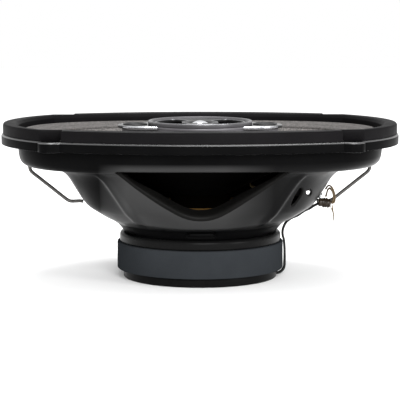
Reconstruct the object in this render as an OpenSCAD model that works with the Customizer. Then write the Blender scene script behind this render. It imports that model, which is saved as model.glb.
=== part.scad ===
// Oval coaxial car loudspeaker, 6 x 9 inch class.
// Origin: centre of the speaker on the plane where the flange meets its panel.
// +Z points towards the listener, +X runs along the long side of the oval.

/* [Frame] */
// Overall length of the mounting flange
flange_l = 238; // [236:0.5:240]
// Overall width of the mounting flange
flange_w = 166; // [165:0.5:168]
// Height of the flange above the panel
flange_h = 5.8; // [5:0.1:6.4]
// Spacing of the panel screws along the oval
screw_dx = 171; // [169:0.5:172]
// Spacing of the panel screws across the oval
screw_dy = 128; // [126:0.5:129]
// Diameter of each panel screw hole
screw_hole_d = 4.8; // [4:0.1:5.4]
// Sheet thickness of the pressed steel basket
sheet_t = 1.4; // [1.2:0.1:1.6]
// Length of the tub that drops into the panel cut-out
tub_l = 217.4; // [216:0.2:218]
// Width of the tub that drops into the panel cut-out
tub_w = 144; // [143:0.5:145]

/* [Trim ring] */
// Height of the trim ring above the flange
trim_h = 6.4; // [5:0.1:8]
// Gap between the trim ring's edge and the flange's edge
trim_inset = 1; // [0.6:0.1:1.5]

/* [Motor] */
// Outer diameter of the ferrite magnet
magnet_d = 100; // [98:0.5:102]
// Thickness of the ferrite magnet
magnet_h = 16.4; // [14:0.1:18]
// Diameter of the top plate
top_plate_d = 97; // [96:0.5:97.5]
// Thickness of the top plate
top_plate_h = 5.8; // [5:0.1:6.5]
// Diameter of the back plate
back_plate_d = 92.8; // [90:0.2:95]
// Thickness of the back plate
back_plate_h = 5.5; // [5:0.1:7]
// Diameter of the centre pole
pole_d = 34; // [33.6:0.1:34.2]
// Bore of the top plate round the voice coil
gap_bore_d = 38.8; // [38.6:0.1:39.6]

/* [Cone] */
// Length of the woofer cone at its edge
cone_l = 184; // [182:0.5:185]
// Width of the woofer cone at its edge
cone_w = 104; // [103:0.5:105]
// Thickness of the woofer cone
cone_t = 0.9; // [0.7:0.1:1]
// Outer diameter of the voice coil former
former_d = 35.8; // [35.6:0.1:36]
// Height of the winding on the former
winding_h = 12; // [9:0.5:13]

/* [Tweeter pod] */
// Diameter of the round part of the pod
pod_d = 62; // [61:0.2:62.4]
// Length of the pod over both wings
wing_l = 99; // [98:0.5:101]
// Width of the wings
wing_w = 36; // [35:0.5:37]
// Diameter of the silver centre dome
dome_d = 12.4; // [12:0.1:12.6]
// Distance of each wing tweeter from the centre
wing_tweeter_x = 39; // [38.9:0.1:39.2]

/* [Leads] */
// Diameter of the two lead wires to the pod
lead_d = 1.5; // [1.3:0.1:1.6]
// Diameter of each steel brace wire
brace_d = 2; // [1.4:0.1:2.2]

/* [Hidden] */
$fn = 96;
e = 0.01;
RN = 48;                       // points round each oval section
RM = 40;                       // points round the smaller oval sections
half_l = flange_l / 2;
half_w = flange_w / 2;
ta = tub_l / 2;
tb = tub_w / 2;
trim_z1 = flange_h + trim_h;
foot_z = -53.5;                // where the basket sits on the top plate
tp_z0 = foot_z - top_plate_h;
mag_z0 = tp_z0 - magnet_h;
back_z0 = mag_z0 - back_plate_h;
pole_top = -52.5;
gap_mid = (foot_z + tp_z0) / 2;
fr = former_d / 2;
wind_t = 0.8;
pod_r = pod_d / 2;
pod_z0 = -14;                  // underside of the pod
deck_z = 8.9;                  // underside of the pod's deck
deck_t = 1.7;
ca = cone_l / 2;
cb = cone_w / 2;
arm_tilt = 32.1;               // lean of the right end arm
arm_p = [71.85, 0, -31.9];     // a point on the outside of that arm

// Outer face of the basket below the flange: [z, half length, half width, squareness]
BASKET = [
  [flange_h - 0.2, ta, tb, 2.6], [-3.2, ta, tb, 2.6], [-7.7, ta - 0.6, tb - 0.6, 2.6],
  [-10.5, ta - 1.8, tb - 1.8, 2.6], [-12.5, ta - 4.8, tb - 4.2, 2.6], [-13, 90, 67, 2.5],
  [-15.6, 83.6, 65.4, 2.4], [-19, 79.6, 64.2, 2.35], [-27.2, 74.8, 60.8, 2.3],
  [-36.6, 68.9, 57.4, 2.2], [-40.6, 62.9, 55.8, 2.1], [-44.3, 56.8, 54, 2.05],
  [-46, 53, 53, 2], [-48.6, 49.4, 49.4, 2], [-52.2, 46.6, 46.6, 2], [foot_z, 45.6, 45.6, 2],
  [foot_z, 22, 22, 2]];
// Woofer cone, back face
CONE = [[5, ca, cb, 2.35], [-4, 74.5, 44.5, 2.3], [-13, 55.5, 36, 2.2], [-21, 37.5, 28, 2.1],
  [-27, 25.5, 22.2, 2.05], [-30.5, fr - 0.9, fr - 0.9, 2]];
// Surround, underside from its outer lip to its inner lip
SURROUND = [[flange_h + 0.05, ta + 4, tb + 1.2, 2.6], [flange_h + 0.05, ta - 0.4, tb - 4.4, 2.6],
  [6.8, ta - 1.8, tb - 5.8, 2.6], [7.5, ta - 3.6, tb - 7.6, 2.55], [6.7, ta - 5.4, tb - 9.4, 2.55],
  [5.6, ta - 7.2, tb - 11, 2.5], [6.6, ta - 9, tb - 12.6, 2.5], [7.4, ta - 10.8, tb - 14.4, 2.45],
  [6.6, ta - 12.6, tb - 16.2, 2.4], [5.5, ta - 14.4, tb - 17.8, 2.4], [5.3, ca + 0.6, cb + 0.6, 2.35]];

// Outline of the two large windows in the long sides: [x, z]
WINDOW = [[-48, -11.8], [-46.5, -13.6], [-39.5, -20], [-32.5, -25.2], [-25.5, -30.2], [-19, -34.2],
  [-12, -38.2], [-6, -40.2], [-0.5, -40.7], [5, -40.2], [11, -38.2], [18, -34.2], [25, -29.8],
  [32.5, -24.6], [40, -19.6], [47, -13.8], [49, -11.8]];
// Outlines of the two openings beside the right end arm: [x, z]
SIDE_WINDOW = [[56, -21.6], [58.6, -21.8], [59, -26], [55.4, -31.8], [52.4, -34.6], [50.9, -33.6], [53.2, -27]];
SIDE_HOLE = [[60.6, -24.2], [62, -23.6], [64, -24], [64.5, -27.6], [62.4, -28.6], [60.7, -27.4]];
BACK_SIDE_WINDOW = [[62, -23], [69.5, -23], [70.5, -26], [66.8, -34.5], [62, -36.6]];

// Routes, centre lines
BRACE = [[102.9, 0, -12.6], [102.7, 0, -15], [101.6, 0, -18], [96, 0, -22.6], [87, 0, -29.8],
  [80.4, 0, -35], [78, 0, -36], [75, 0, -36], [72.4, 0, -35.9], [70.6, 0, -36.2]];
LEAD = [[66.2, 0, -40.6], [63, 0, -42], [59.2, 0, -44.6], [55.2, 0, -46.4], [52, 0, -49], [50.2, 0, -53],
  [50, 0, -56.4], [50.8, 0, -59.5], [51.2, 0, -64], [51.3, 0, -69], [51.2, 0, -75], [50.2, 0, -77.8],
  [48, 0, -79.5], [44, 0, -79.9], [38, 0, -80], [26, 0, -80], [14, 0, -80], [6, 0, -80],
  [2.4, 0, -79.8], [0.6, 0, -78.6], [0, 0, -76.6], [0, 0, -70], [0, 0, -56], [0, 0, -40], [0, 0, -24],
  [0, 0, -13], [0, 0, -3.5]];
TINSEL = [[30, 5.5, -25.8], [33, 6, -28], [39, 6.8, -31.4], [46, 7.2, -33.2], [53, 7, -33],
  [59, 6.2, -31.4], [63.4, 5.4, -30.3], [65.8, 5.1, -30]];
CAP_LOOP = [[79.2, -2.8, -37.2], [81, -3, -36.2], [81.2, -3.4, -33], [80.4, -3.8, -29.4], [79, -4, -27],
  [77.6, -3.8, -26.2], [76.6, -3.2, -26.8], [75.6, -2.4, -28.6]];
CAP_TAIL = [[79.5, -3.6, -38], [79.8, -3.8, -40], [80.4, -3.9, -43.6], [80.7, -4, -47.6]];

// ---- shared geometry ----
// point on an oval: half axes a and b, squareness q, angle w
function oval(a, b, q, w) = let(c = cos(w), s = sin(w))
  [a * sign(c) * pow(abs(c), 2 / q), b * sign(s) * pow(abs(s), 2 / q)];
function oval_pts(a, b, q, m) = [for (j = [0:m - 1]) oval(a, b, q, 360 * j / m)];
// a profile moved inwards by t, along its own normals
function inset(P, t) = [for (i = [0:len(P) - 1]) let(
  p = P[max(i - 1, 0)], q = P[min(i + 1, len(P) - 1)], dx = q[1] - p[1], dz = q[0] - p[0],
  l = norm([dx, dz])) [P[i][0] - t * dx / l, P[i][1] + t * dz / l, P[i][2] + t * dz / l, P[i][3]]];
function backwards(P) = [for (i = [len(P) - 1:-1:0]) P[i]];
// closed ring of sections
module ring_loft(S, m) {
  k = len(S);
  polyhedron(
    points = [for (s = S) for (p = oval_pts(s[1], s[2], s[3], m)) [p[0], p[1], s[0]]],
    faces = [for (i = [0:k - 1]) for (j = [0:m - 1]) let(
      a = i * m + j, b = i * m + (j + 1) % m, c = ((i + 1) % k) * m + (j + 1) % m, d = ((i + 1) % k) * m + j)
      each [[a, b, c], [a, c, d]]], convexity = 10);
}
// sheet of thickness t whose outer face follows profile P
module sheet(P, t, m) { ring_loft(concat(P, backwards(inset(P, t))), m); }

function unit(v) = v / norm(v);
// smooth curve through the points of P, n steps a span
function spline(P, n) = let(k = len(P)) concat([for (i = [0:k - 2]) for (s = [0:n - 1]) let(
  t = s / n, a = P[max(i - 1, 0)], b = P[i], c = P[i + 1], d = P[min(i + 2, k - 1)])
  0.5 * (2 * b + (c - a) * t + (2 * a - 5 * b + 4 * c - d) * t * t + (3 * b - a - 3 * c + d) * t * t * t)],
  [P[k - 1]]);
// round tube of radius r swept along P, with g sides; P stays roughly at right angles to ref
module tube(P, r, g, ref = [0, 1, 0]) {
  k = len(P);
  T = [for (i = [0:k - 1]) unit(P[min(i + 1, k - 1)] - P[max(i - 1, 0)])];
  pts = [for (i = [0:k - 1]) let(u = unit(cross(T[i], ref)), v = cross(T[i], u))
    for (j = [0:g - 1]) P[i] + r * (cos(360 * j / g) * u + sin(360 * j / g) * v)];
  polyhedron(points = pts, faces = concat(
    [for (i = [0:k - 2]) for (j = [0:g - 1]) let(
      a = i * g + j, b = i * g + (j + 1) % g, c = (i + 1) * g + (j + 1) % g, d = (i + 1) * g + j)
      each [[a, c, b], [a, d, c]]],
    [[for (j = [0:g - 1]) j]], [[for (j = [g - 1:-1:0]) (k - 1) * g + j]]), convexity = 10);
}
function shift(P, v) = [for (p = P) p + v];

module ring(r1, r0, z0, z1) {
  translate([0, 0, z0]) difference() {
    cylinder(r = r1, h = z1 - z0);
    translate([0, 0, -1]) cylinder(r = r0, h = z1 - z0 + 2);
  }
}
module screw_spots() {
  for (x = [-screw_dx / 2, screw_dx / 2]) for (y = [-screw_dy / 2, screw_dy / 2]) translate([x, y, 0]) children();
}
// plan of the flange: two end arcs, two long arcs; cut lets it grow or shrink
module flange_plan(g = 0) {
  er = half_w + 0.5 + g;
  ec = half_l - half_w - 0.5;
  lr = 225 + g;
  intersection() {
    union() {
      translate([ec, 0]) circle(r = er, $fn = 160);
      translate([-ec, 0]) circle(r = er, $fn = 160);
      square([2 * ec, 2 * er], center = true);
    }
    translate([0, half_w - 225]) circle(r = lr, $fn = 200);
    translate([0, 225 - half_w]) circle(r = lr, $fn = 200);
  }
}
// plan of the trim ring's opening
module opening_plan() {
  intersection() {
    union() {
      translate([ta + 0.4 - 85.9, 0]) circle(r = 85.9, $fn = 160);
      translate([85.9 - ta - 0.4, 0]) circle(r = 85.9, $fn = 160);
      square([46, 171], center = true);
    }
    translate([0, tb - 4 - 284]) circle(r = 284, $fn = 200);
    translate([0, 284 - tb + 4]) circle(r = 284, $fn = 200);
  }
}
module stadium(l, w) {
  translate([(l - w) / 2, 0]) circle(r = w / 2);
  translate([-(l - w) / 2, 0]) circle(r = w / 2);
  square([l - w, w], center = true);
}
module window_cut() {
  translate([0, -30, 0]) rotate([90, 0, 0]) linear_extrude(60) polygon(WINDOW);
}
module side_window_cut(P) {
  translate([0, -21, 0]) rotate([90, 0, 0]) linear_extrude(45) polygon(P);
}
// places a child on the right end arm: local z up the arm, local x out through it
module on_arm(d = 0) {
  translate(arm_p + d * [cos(arm_tilt), 0, -sin(arm_tilt)]) rotate([0, arm_tilt, 0]) children();
}

// ---- frame ----
module basket() {
  color("#26272a") difference() {
    union() {
      // flat flange with a turned-down lip and four screw ears
      difference() {
        linear_extrude(flange_h) union() { flange_plan(); screw_spots() circle(r = 6.5); }
        translate([0, 0, -1]) linear_extrude(flange_h - 0.6) difference() {
          flange_plan(-1.8);
          screw_spots() circle(r = 6.5);
        }
        translate([0, 0, -1]) linear_extrude(flange_h + 2) polygon(oval_pts(ta - 0.7, tb - 0.7, 2.6, RN));
      }
      // tub and tapering arms
      sheet(BASKET, sheet_t, RN);
      // landing for the spider
      ring_loft([[-40, 62.2, 54.8, 2.1], [-41.3, 60.9, 54.2, 2.1], [-41.3, 47.6, 47.6, 2], [-40, 47.6, 47.6, 2]], RN);
    }
    screw_spots() translate([0, 0, -1]) cylinder(d = screw_hole_d, h = flange_h + 2);
    window_cut();
    mirror([0, 1, 0]) window_cut();
    side_window_cut(SIDE_WINDOW);
    side_window_cut(SIDE_HOLE);
    mirror([0, 1, 0]) side_window_cut(BACK_SIDE_WINDOW);
    for (a = [45:90:315]) rotate(a) translate([34, 0, foot_z - 1]) cylinder(r = 2.1, h = 4);
    for (y = [-5, 5]) on_arm(-1) translate([0, y, 0]) rotate([0, 90, 0]) cylinder(r = 1.05, h = 8, center = true);
  }
}
module panel_gasket() {
  color("#303030") difference() {
    linear_extrude(flange_h - 1.7) difference() {
      flange_plan(-2.4);
      screw_spots() circle(r = 7);
    }
    translate([0, 0, -1]) linear_extrude(flange_h + 2) polygon(oval_pts(ta + 0.4, tb + 0.4, 2.6, RN));
  }
}
module trim_ring() {
  color("#1d1d1f") translate([0, 0, flange_h]) difference() {
    union() {
      linear_extrude(trim_h - 1) difference() {
        flange_plan(-trim_inset);
        trim_notches();
      }
      translate([0, 0, trim_h - 1]) linear_extrude(1) difference() {
        flange_plan(-trim_inset - 0.6);
        trim_notches();
      }
    }
    translate([0, 0, -1]) linear_extrude(trim_h + 2) opening_plan();
    // rebate over the surround's lip
    translate([0, 0, -1]) linear_extrude(1.75) polygon(oval_pts(ta + 4.4, tb + 1.7, 2.6, RN));
  }
}
module trim_notches() {
  for (x = [-1, 1]) for (y = [-1, 1]) translate([x * 91.6, y * 74.6]) square([24.2, 30], center = true);
}

// ---- motor ----
module top_plate() {
  r = top_plate_d / 2;
  color("#3a3a3c") difference() {
    rotate_extrude($fn = 160) polygon([[gap_bore_d / 2, tp_z0], [r - 0.8, tp_z0], [r, tp_z0 + 0.8], [r, foot_z - 1.6],
      [r - 1.6, foot_z], [gap_bore_d / 2, foot_z]]);
    for (a = [45:90:315]) rotate(a) translate([34, 0, tp_z0 - 1]) cylinder(r = 2.1, h = top_plate_h + 2);
  }
}
module ferrite_magnet() {
  r = magnet_d / 2;
  color("#55585c") rotate_extrude($fn = 160) polygon([[25, mag_z0], [r - 0.5, mag_z0], [r, mag_z0 + 0.5],
    [r, tp_z0 - 0.5], [r - 0.5, tp_z0], [25, tp_z0]]);
}
module yoke() {
  r = back_plate_d / 2;
  color("#1c1c1e") difference() {
    rotate_extrude($fn = 160) polygon([[4.5, back_z0], [r - 2, back_z0], [r - 0.6, back_z0 + 0.6], [r, back_z0 + 2],
      [r, mag_z0 - 0.6], [r - 0.6, mag_z0], [pole_d / 2, mag_z0], [pole_d / 2, pole_top - 0.6],
      [pole_d / 2 - 0.6, pole_top], [4.5, pole_top]]);
    translate([0, 0, back_z0 - 1]) cylinder(r = 9, h = 8.2);
    // channel for the lead wires
    translate([6, -3, back_z0 - 1]) cube([60, 6, 3.8]);
  }
}
module basket_rivets() {
  color("#4a4a4c") for (a = [45:90:315]) rotate(a) translate([34, 0, 0]) {
    translate([0, 0, tp_z0 + 0.5]) cylinder(r = 2, h = top_plate_h - 0.5 + sheet_t + e);
    rotate_extrude() polygon([[0, foot_z + sheet_t], [3.4, foot_z + sheet_t], [3.2, foot_z + sheet_t + 0.8],
      [2, foot_z + sheet_t + 1.3], [0, foot_z + sheet_t + 1.4]]);
  }
}

// ---- moving system ----
module surround() { color("#3b3b3d") sheet(SURROUND, 0.6, RM); }
module woofer_cone() {
  color("#6b6660") difference() {
    sheet(CONE, cone_t, RM);
    translate([0, 0, -40]) cylinder(r = fr, h = 30);
  }
}
module voice_coil_former() { color("#8a6a3a") ring(fr, fr - 0.4, gap_mid - winding_h / 2 - 0.4, -28.4); }
module voice_coil_winding() {
  color("#b36a35") ring(fr + wind_t, fr, gap_mid - winding_h / 2, gap_mid + winding_h / 2);
}
function spider_z(r) = -39.7 + 0.8 * sin((r - 22) * 72);
module spider() {
  up = [for (r = [22:1:47]) [r, spider_z(r) + 0.25]];
  dn = [for (r = [47:-1:22]) [r, spider_z(r) - 0.25]];
  color("#8c5a24") rotate_extrude() polygon(concat([[fr + 0.03, -37.6], [fr + 0.5, -37.6], [fr + 0.7, -39]], up,
    [[48, -39.45], [53.4, -39.45], [53.4, -40], [47.4, -40]], dn, [[fr + 0.5, -39.9], [fr + 0.03, -39.6]]));
}
module tinsel(s) {
  color("#a98a5a") tube(spline([for (p = TINSEL) [p[0], s * p[1], p[2]]], 4), 0.6, 8);
}
module tinsel_lead_pos() { tinsel(-1); }
module tinsel_lead_neg() { tinsel(1); }

// ---- pod on its post ----
module tweeter_post() {
  color("#2b2b2d") difference() {
    rotate_extrude() polygon([[0, -77.4], [4.42, -77.4], [4.42, pole_top], [9, pole_top], [9, pole_top + 1.6],
      [4.8, pole_top + 2.6], [4.8, pod_z0 - 3], [7, pod_z0 - 1.6], [7, pod_z0], [2.98, pod_z0], [2.98, -1],
      [0, -1]]);
    translate([0, 0, -90]) cylinder(r = 2, h = 100);
  }
}
module post_nut() {
  color("#9a9a9c") translate([0, 0, -76.8]) difference() {
    cylinder(r = 7.2, h = 2.8, $fn = 6);
    translate([0, 0, -1]) cylinder(r = 4.46, h = 5);
  }
}
module post_top_nut() {
  color("#9a9a9c") translate([0, 0, -3]) difference() {
    cylinder(r = 5, h = 1.8, $fn = 6);
    translate([0, 0, -1]) cylinder(r = 3.02, h = 5);
  }
}
module pod_housing() {
  color("#17171a") difference() {
    union() {
      rotate_extrude() polygon([[0, pod_z0], [19, pod_z0], [20, pod_z0 + 1], [20, -6.5], [pod_r - 1.5, -2.5],
        [pod_r - 0.5, -1.5], [pod_r - 0.5, deck_z], [0, deck_z]]);
      translate([0, 0, 2]) linear_extrude(deck_z - 2) stadium(wing_l - 5, wing_w - 5);
    }
    // bowl that holds the midrange
    rotate_extrude() polygon([[0, -12.2], [18, -12.2], [18, -5.4], [27.2, 0], [27.2, 5.4], [28.7, 5.4], [28.7, 20],
      [0, 20]]);
    // pockets under the wings
    difference() {
      translate([0, 0, 3.6]) linear_extrude(20) stadium(wing_l - 8.2, wing_w - 8.2);
      translate([0, 0, 3]) cylinder(r = pod_r - 0.5, h = 20);
    }
    translate([0, 0, -20]) cylinder(r = 3.02, h = 20);
  }
}
module pod_cover() {
  color("#141417") difference() {
    union() {
      translate([0, 0, deck_z]) linear_extrude(deck_t - 0.5) stadium(wing_l, wing_w);
      translate([0, 0, deck_z + deck_t - 0.5]) linear_extrude(0.5) stadium(wing_l - 0.8, wing_w - 0.8);
      translate([0, 0, deck_z]) cylinder(r = pod_r, h = deck_t);
    }
    translate([0, 0, 5]) cylinder(r = 27.8, h = 10);
    for (x = [-1, 1]) translate([x * wing_tweeter_x, 0, 5]) cylinder(r = 6, h = 10);
  }
}
module pod_bezel() {
  z = deck_z + deck_t;
  color("#3a3a3e") rotate_extrude() polygon([[29, z], [pod_r + 0.3, z], [pod_r + 0.3, z + 1.4], [pod_r - 0.2, z + 2.1],
    [pod_r - 0.9, z + 2.4], [pod_r - 1.6, z + 2.2], [29, z + 1.2]]);
}
module kidney(r1, r0, w) {
  n = 20;
  polygon(concat([for (i = [0:n]) let(a = -w + 2 * w * i / n) r1 * [cos(a), sin(a)]],
    [for (i = [n:-1:0]) let(a = -w + 2 * w * i / n) r0 * [cos(a), sin(a)]]));
}
module pod_grille() {
  z = deck_z + deck_t;
  color("#202024") difference() {
    translate([0, 0, z]) cylinder(r = 28.9, h = 1.2);
    translate([0, 0, z - 1]) cylinder(r1 = 4.65, r2 = 9.75, h = 3);
    translate([0, 0, z - 1]) cylinder(r = 6.5, h = 4);
    for (m = [0, 1]) mirror([m, 0, 0]) translate([0, 0, z - 1]) linear_extrude(4) kidney(26.4, 11, 58);
  }
}
module mid_yoke() {
  color("#5a5a5e") difference() {
    union() {
      translate([0, 0, -12.2]) cylinder(r = 17, h = 2);
      translate([0, 0, -12.2]) cylinder(r = 5.6, h = 9.2);
    }
    translate([0, 0, -20]) cylinder(r = 3.02, h = 30);
  }
}
module mid_magnet() { color("#56595d") ring(17, 9.5, -10.2, -5.2); }
module mid_top_plate() { color("#5a5a5e") ring(17, 7.6, -5.2, -3); }
module mid_frame() {
  color("#3c3c40") rotate_extrude() polygon([[12, -3], [17.6, -3], [18.6, -2.4], [27, 4.2], [27, 5.4], [28.5, 5.4],
    [28.5, 6.4], [26.4, 6.4], [26.2, 4.8], [18, -1.8], [12, -1.8]]);
}
module mid_cone() {
  color("#2e2e32") rotate_extrude() polygon([[6.7, -1.6], [7.3, -1.6], [15, 1.6], [23.4, 5.9], [24, 5.9], [24, 6.4],
    [23.2, 6.4], [14.8, 2.2], [6.7, -1]]);
}
module mid_voice_coil() {
  color("#b36a35") union() {
    ring(6.7, 6.4, -8, -0.8);
    ring(7.1, 6.7 - e, -7.6, -2.4);
  }
}
module mid_surround() {
  color("#2c2c2e") rotate_extrude() polygon([[24.03, 6.1], [24.2, 6.9], [24.8, 7.6], [25.6, 7.8], [26.4, 7.4],
    [26.9, 6.8], [28.4, 6.8], [28.4, 6.42], [26.6, 6.42], [26, 7], [25.5, 7.3], [25, 7.1], [24.6, 6.6],
    [24.5, 6.1]]);
}
module center_tweeter_cup() {
  color("#202024") difference() {
    translate([0, 0, 4.4]) cylinder(r = 8.2, h = 6.2);
    translate([0, 0, 5.2]) cylinder(r = 7.4, h = 10);
  }
}
module center_tweeter_magnet() {
  color("#77777b") difference() {
    translate([0, 0, 5.2]) cylinder(r = 7.38, h = 3.8);
    difference() {
      translate([0, 0, 6.6]) cylinder(r = 6.3, h = 5);
      translate([0, 0, 6]) cylinder(r = 5.3, h = 5);
    }
  }
}
// thin domed cap of base radius r and height h, standing on z0, with a short skirt
module dome(r, h, z0, t = 0.4, skirt = 1.6) {
  R = (r * r + h * h) / (2 * h);
  n = 10;
  w = asin(r / R);
  out = [for (i = [0:n]) let(a = w * i / n) [R * sin(a), z0 + h - R + R * cos(a)]];
  inn = [for (i = [n:-1:0]) let(a = asin((r - t) / (R - t)) * i / n) [(R - t) * sin(a), z0 + h - R + (R - t) * cos(a)]];
  rotate_extrude() polygon(concat(out, [[r, z0 - skirt], [r - t, z0 - skirt]], inn));
}
module center_dome() { color("#d8d9dc") dome(dome_d / 2 - 0.2, 2.6, 9.9, 0.4, 2.4); }
module wing_tweeter_rim(s) {
  color("#2a2a2e") translate([s * wing_tweeter_x, 0, 0]) rotate_extrude() polygon([[5.3, deck_z + 0.6], [5.9, deck_z + 0.6],
    [5.9, deck_z + deck_t], [7.4, deck_z + deck_t], [7.2, deck_z + deck_t + 0.5], [6.4, deck_z + deck_t + 0.8],
    [5.3, deck_z + deck_t + 0.2]]);
}
module wing_tweeter_rim_left() { wing_tweeter_rim(-1); }
module wing_tweeter_rim_right() { wing_tweeter_rim(1); }
module wing_tweeter_magnet(s) {
  color("#77777b") translate([s * wing_tweeter_x, 0, 0]) difference() {
    translate([0, 0, 3.6]) cylinder(r = 6.2, h = 4.4);
    difference() {
      translate([0, 0, 5.6]) cylinder(r = 5.4, h = 5);
      translate([0, 0, 5]) cylinder(r = 4.3, h = 5);
    }
  }
}
module wing_tweeter_magnet_left() { wing_tweeter_magnet(-1); }
module wing_tweeter_magnet_right() { wing_tweeter_magnet(1); }
module wing_dome(s) { color("#bfc0c4") translate([s * wing_tweeter_x, 0, 0]) dome(5, 1.6, 9.2, 0.35, 2.8); }
module wing_dome_left() { wing_dome(-1); }
module wing_dome_right() { wing_dome(1); }

// ---- terminals and leads ----
module terminal_board() {
  color("#3a2a1e") difference() {
    on_arm(-3.2) cube([1.2, 18, 13], center = true);
    for (y = [-5, 5]) on_arm(-3.2) translate([0, y, 0]) rotate([0, 90, 0]) cylinder(r = 1.05, h = 8, center = true);
  }
}
// blade terminal: w wide, pointing out along s
module blade(w, s) {
  color("#c9c4b4") difference() {
    union() {
      on_arm(-4.2) translate([0, s * 5, 0]) cube([0.8, 5, w], center = true);
      on_arm(-4.2) translate([0, s * 12.5, 0]) cube([0.8, 10.2, w], center = true);
      on_arm(-4.2) translate([0, s * 17.5, 0]) cube([0.8, 1.4, w - 1.2], center = true);
    }
    on_arm(-4.2) translate([0, s * 5, 0]) rotate([0, 90, 0]) cylinder(r = 1.05, h = 8, center = true);
    on_arm(-4.2) translate([0, s * 14, 0]) rotate([0, 90, 0]) cylinder(r = 0.6, h = 8, center = true);
  }
}
module terminal_positive() { blade(4.8, -1); }
module terminal_negative() { blade(2.8, 1); }
module terminal_rivets() {
  color("#b8b0a0") for (y = [-5, 5]) {
    on_arm(-2.3) translate([0, y, 0]) rotate([0, 90, 0]) cylinder(r = 1, h = 5.2, center = true);
    on_arm(-5) translate([0, y, 0]) rotate([0, 90, 0]) cylinder(r = 1.8, h = 0.8, center = true);
    on_arm(0.5) translate([0, y, 0]) rotate([0, 90, 0]) cylinder(r = 1.8, h = 0.9, center = true);
  }
}
module crossover_capacitor() {
  color("#4a3a22") translate([71.2, -2.8, -36.2]) rotate([0, 97, 0]) {
    cylinder(r = 2.5, h = 7.8);
    translate([0, 0, 0.6]) cylinder(r = 2.65, h = 6.4);
  }
}
module capacitor_leads() {
  color("#a98a4a") union() {
    tube(spline(CAP_LOOP, 4), 0.35, 8);
    tube(spline(CAP_TAIL, 3), 0.3, 8);
  }
}
module lead_wire_a() { color("#101012") tube(spline(shift(LEAD, [0, -0.85, 0]), 2), lead_d / 2, 8); }
module lead_wire_b() { color("#101012") tube(spline(shift(LEAD, [0, 0.85, 0]), 2), lead_d / 2, 8); }
module brace_wire_left() {
  color("#8e9094") tube(spline([for (p = BRACE) [-p[0], 1.8, p[2]]], 3), brace_d / 2, 8);
}
module brace_wire_right() {
  color("#8e9094") tube(spline([for (p = BRACE) [p[0], 1.8, p[2]]], 3), brace_d / 2, 8);
}

basket();
panel_gasket();
trim_ring();
top_plate();
ferrite_magnet();
yoke();
basket_rivets();
surround();
woofer_cone();
voice_coil_former();
voice_coil_winding();
spider();
tinsel_lead_pos();
tinsel_lead_neg();
tweeter_post();
post_nut();
post_top_nut();
pod_housing();
pod_cover();
pod_bezel();
pod_grille();
mid_yoke();
mid_magnet();
mid_top_plate();
mid_frame();
mid_cone();
mid_voice_coil();
mid_surround();
center_tweeter_cup();
center_tweeter_magnet();
center_dome();
wing_tweeter_rim_left();
wing_tweeter_rim_right();
wing_tweeter_magnet_left();
wing_tweeter_magnet_right();
wing_dome_left();
wing_dome_right();
terminal_board();
terminal_positive();
terminal_negative();
terminal_rivets();
crossover_capacitor();
capacitor_leads();
lead_wire_a();
lead_wire_b();
brace_wire_left();
brace_wire_right();
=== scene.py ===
import math
import bpy
import bmesh
import numpy as np
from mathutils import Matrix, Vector, geometry


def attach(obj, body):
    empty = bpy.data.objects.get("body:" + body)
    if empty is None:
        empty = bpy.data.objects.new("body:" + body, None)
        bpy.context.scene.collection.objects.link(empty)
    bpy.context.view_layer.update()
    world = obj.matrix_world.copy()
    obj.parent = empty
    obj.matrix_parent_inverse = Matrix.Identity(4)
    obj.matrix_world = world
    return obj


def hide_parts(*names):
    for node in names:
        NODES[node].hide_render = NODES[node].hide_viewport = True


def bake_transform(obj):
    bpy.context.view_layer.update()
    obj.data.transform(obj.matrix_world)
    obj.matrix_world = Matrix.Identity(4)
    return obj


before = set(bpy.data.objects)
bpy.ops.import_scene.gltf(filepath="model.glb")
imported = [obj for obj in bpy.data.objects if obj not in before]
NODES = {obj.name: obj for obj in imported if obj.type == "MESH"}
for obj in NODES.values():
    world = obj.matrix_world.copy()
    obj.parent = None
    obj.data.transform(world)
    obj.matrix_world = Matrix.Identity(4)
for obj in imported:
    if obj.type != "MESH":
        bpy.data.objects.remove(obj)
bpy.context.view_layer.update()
MM = 0.001
PI = math.pi

# ------------------------------------------------------------------ sizes
FL_L, FL_W, FL_H = 238.0, 166.0, 5.8
SCREW = (85.5, 64.0)
TA, TB = 108.7, 72.0
TRIM_Z = 12.2
SHEET = 1.4
FOOT_Z = -53.5
TP_Z0 = -59.3
MAG_Z0 = -75.7
BACK_Z0 = -81.2
POD_R = 31.0
DECK_Z, DECK_T = 8.9, 1.7
DECK_TOP = DECK_Z + DECK_T
WING_X = 39.0

# ------------------------------------------------------------------ mesh helpers


def new_obj(name, verts, faces, smooth=True, sharp=None):
    """Mesh object from millimetre vertices."""
    me = bpy.data.meshes.new(name)
    v = np.asarray(verts, float) * MM
    me.from_pydata(v.tolist(), [], [list(map(int, f)) for f in faces])
    me.update()
    ob = bpy.data.objects.new(name, me)
    bpy.context.scene.collection.objects.link(ob)
    finish_mesh(ob, smooth, sharp)
    return ob


def finish_mesh(ob, smooth=True, sharp=None, recalc=True):
    me = ob.data
    if recalc:
        bm = bmesh.new()
        bm.from_mesh(me)
        bmesh.ops.recalc_face_normals(bm, faces=bm.faces)
        bm.to_mesh(me)
        bm.free()
    if smooth:
        me.polygons.foreach_set("use_smooth", [True] * len(me.polygons))
        if sharp is not None:
            me.set_sharp_from_angle(angle=math.radians(sharp))
    me.update()


class Mesh:
    """Gathers parts of one piece before it becomes an object."""

    def __init__(self):
        self.v, self.f = [], []

    def add(self, verts, faces):
        o = len(self.v)
        self.v.extend([tuple(map(float, p)) for p in verts])
        self.f.extend([tuple(int(i) + o for i in f) for f in faces])
        return o

    def obj(self, name, smooth=True, sharp=None):
        return new_obj(name, self.v, self.f, smooth, sharp)


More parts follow.
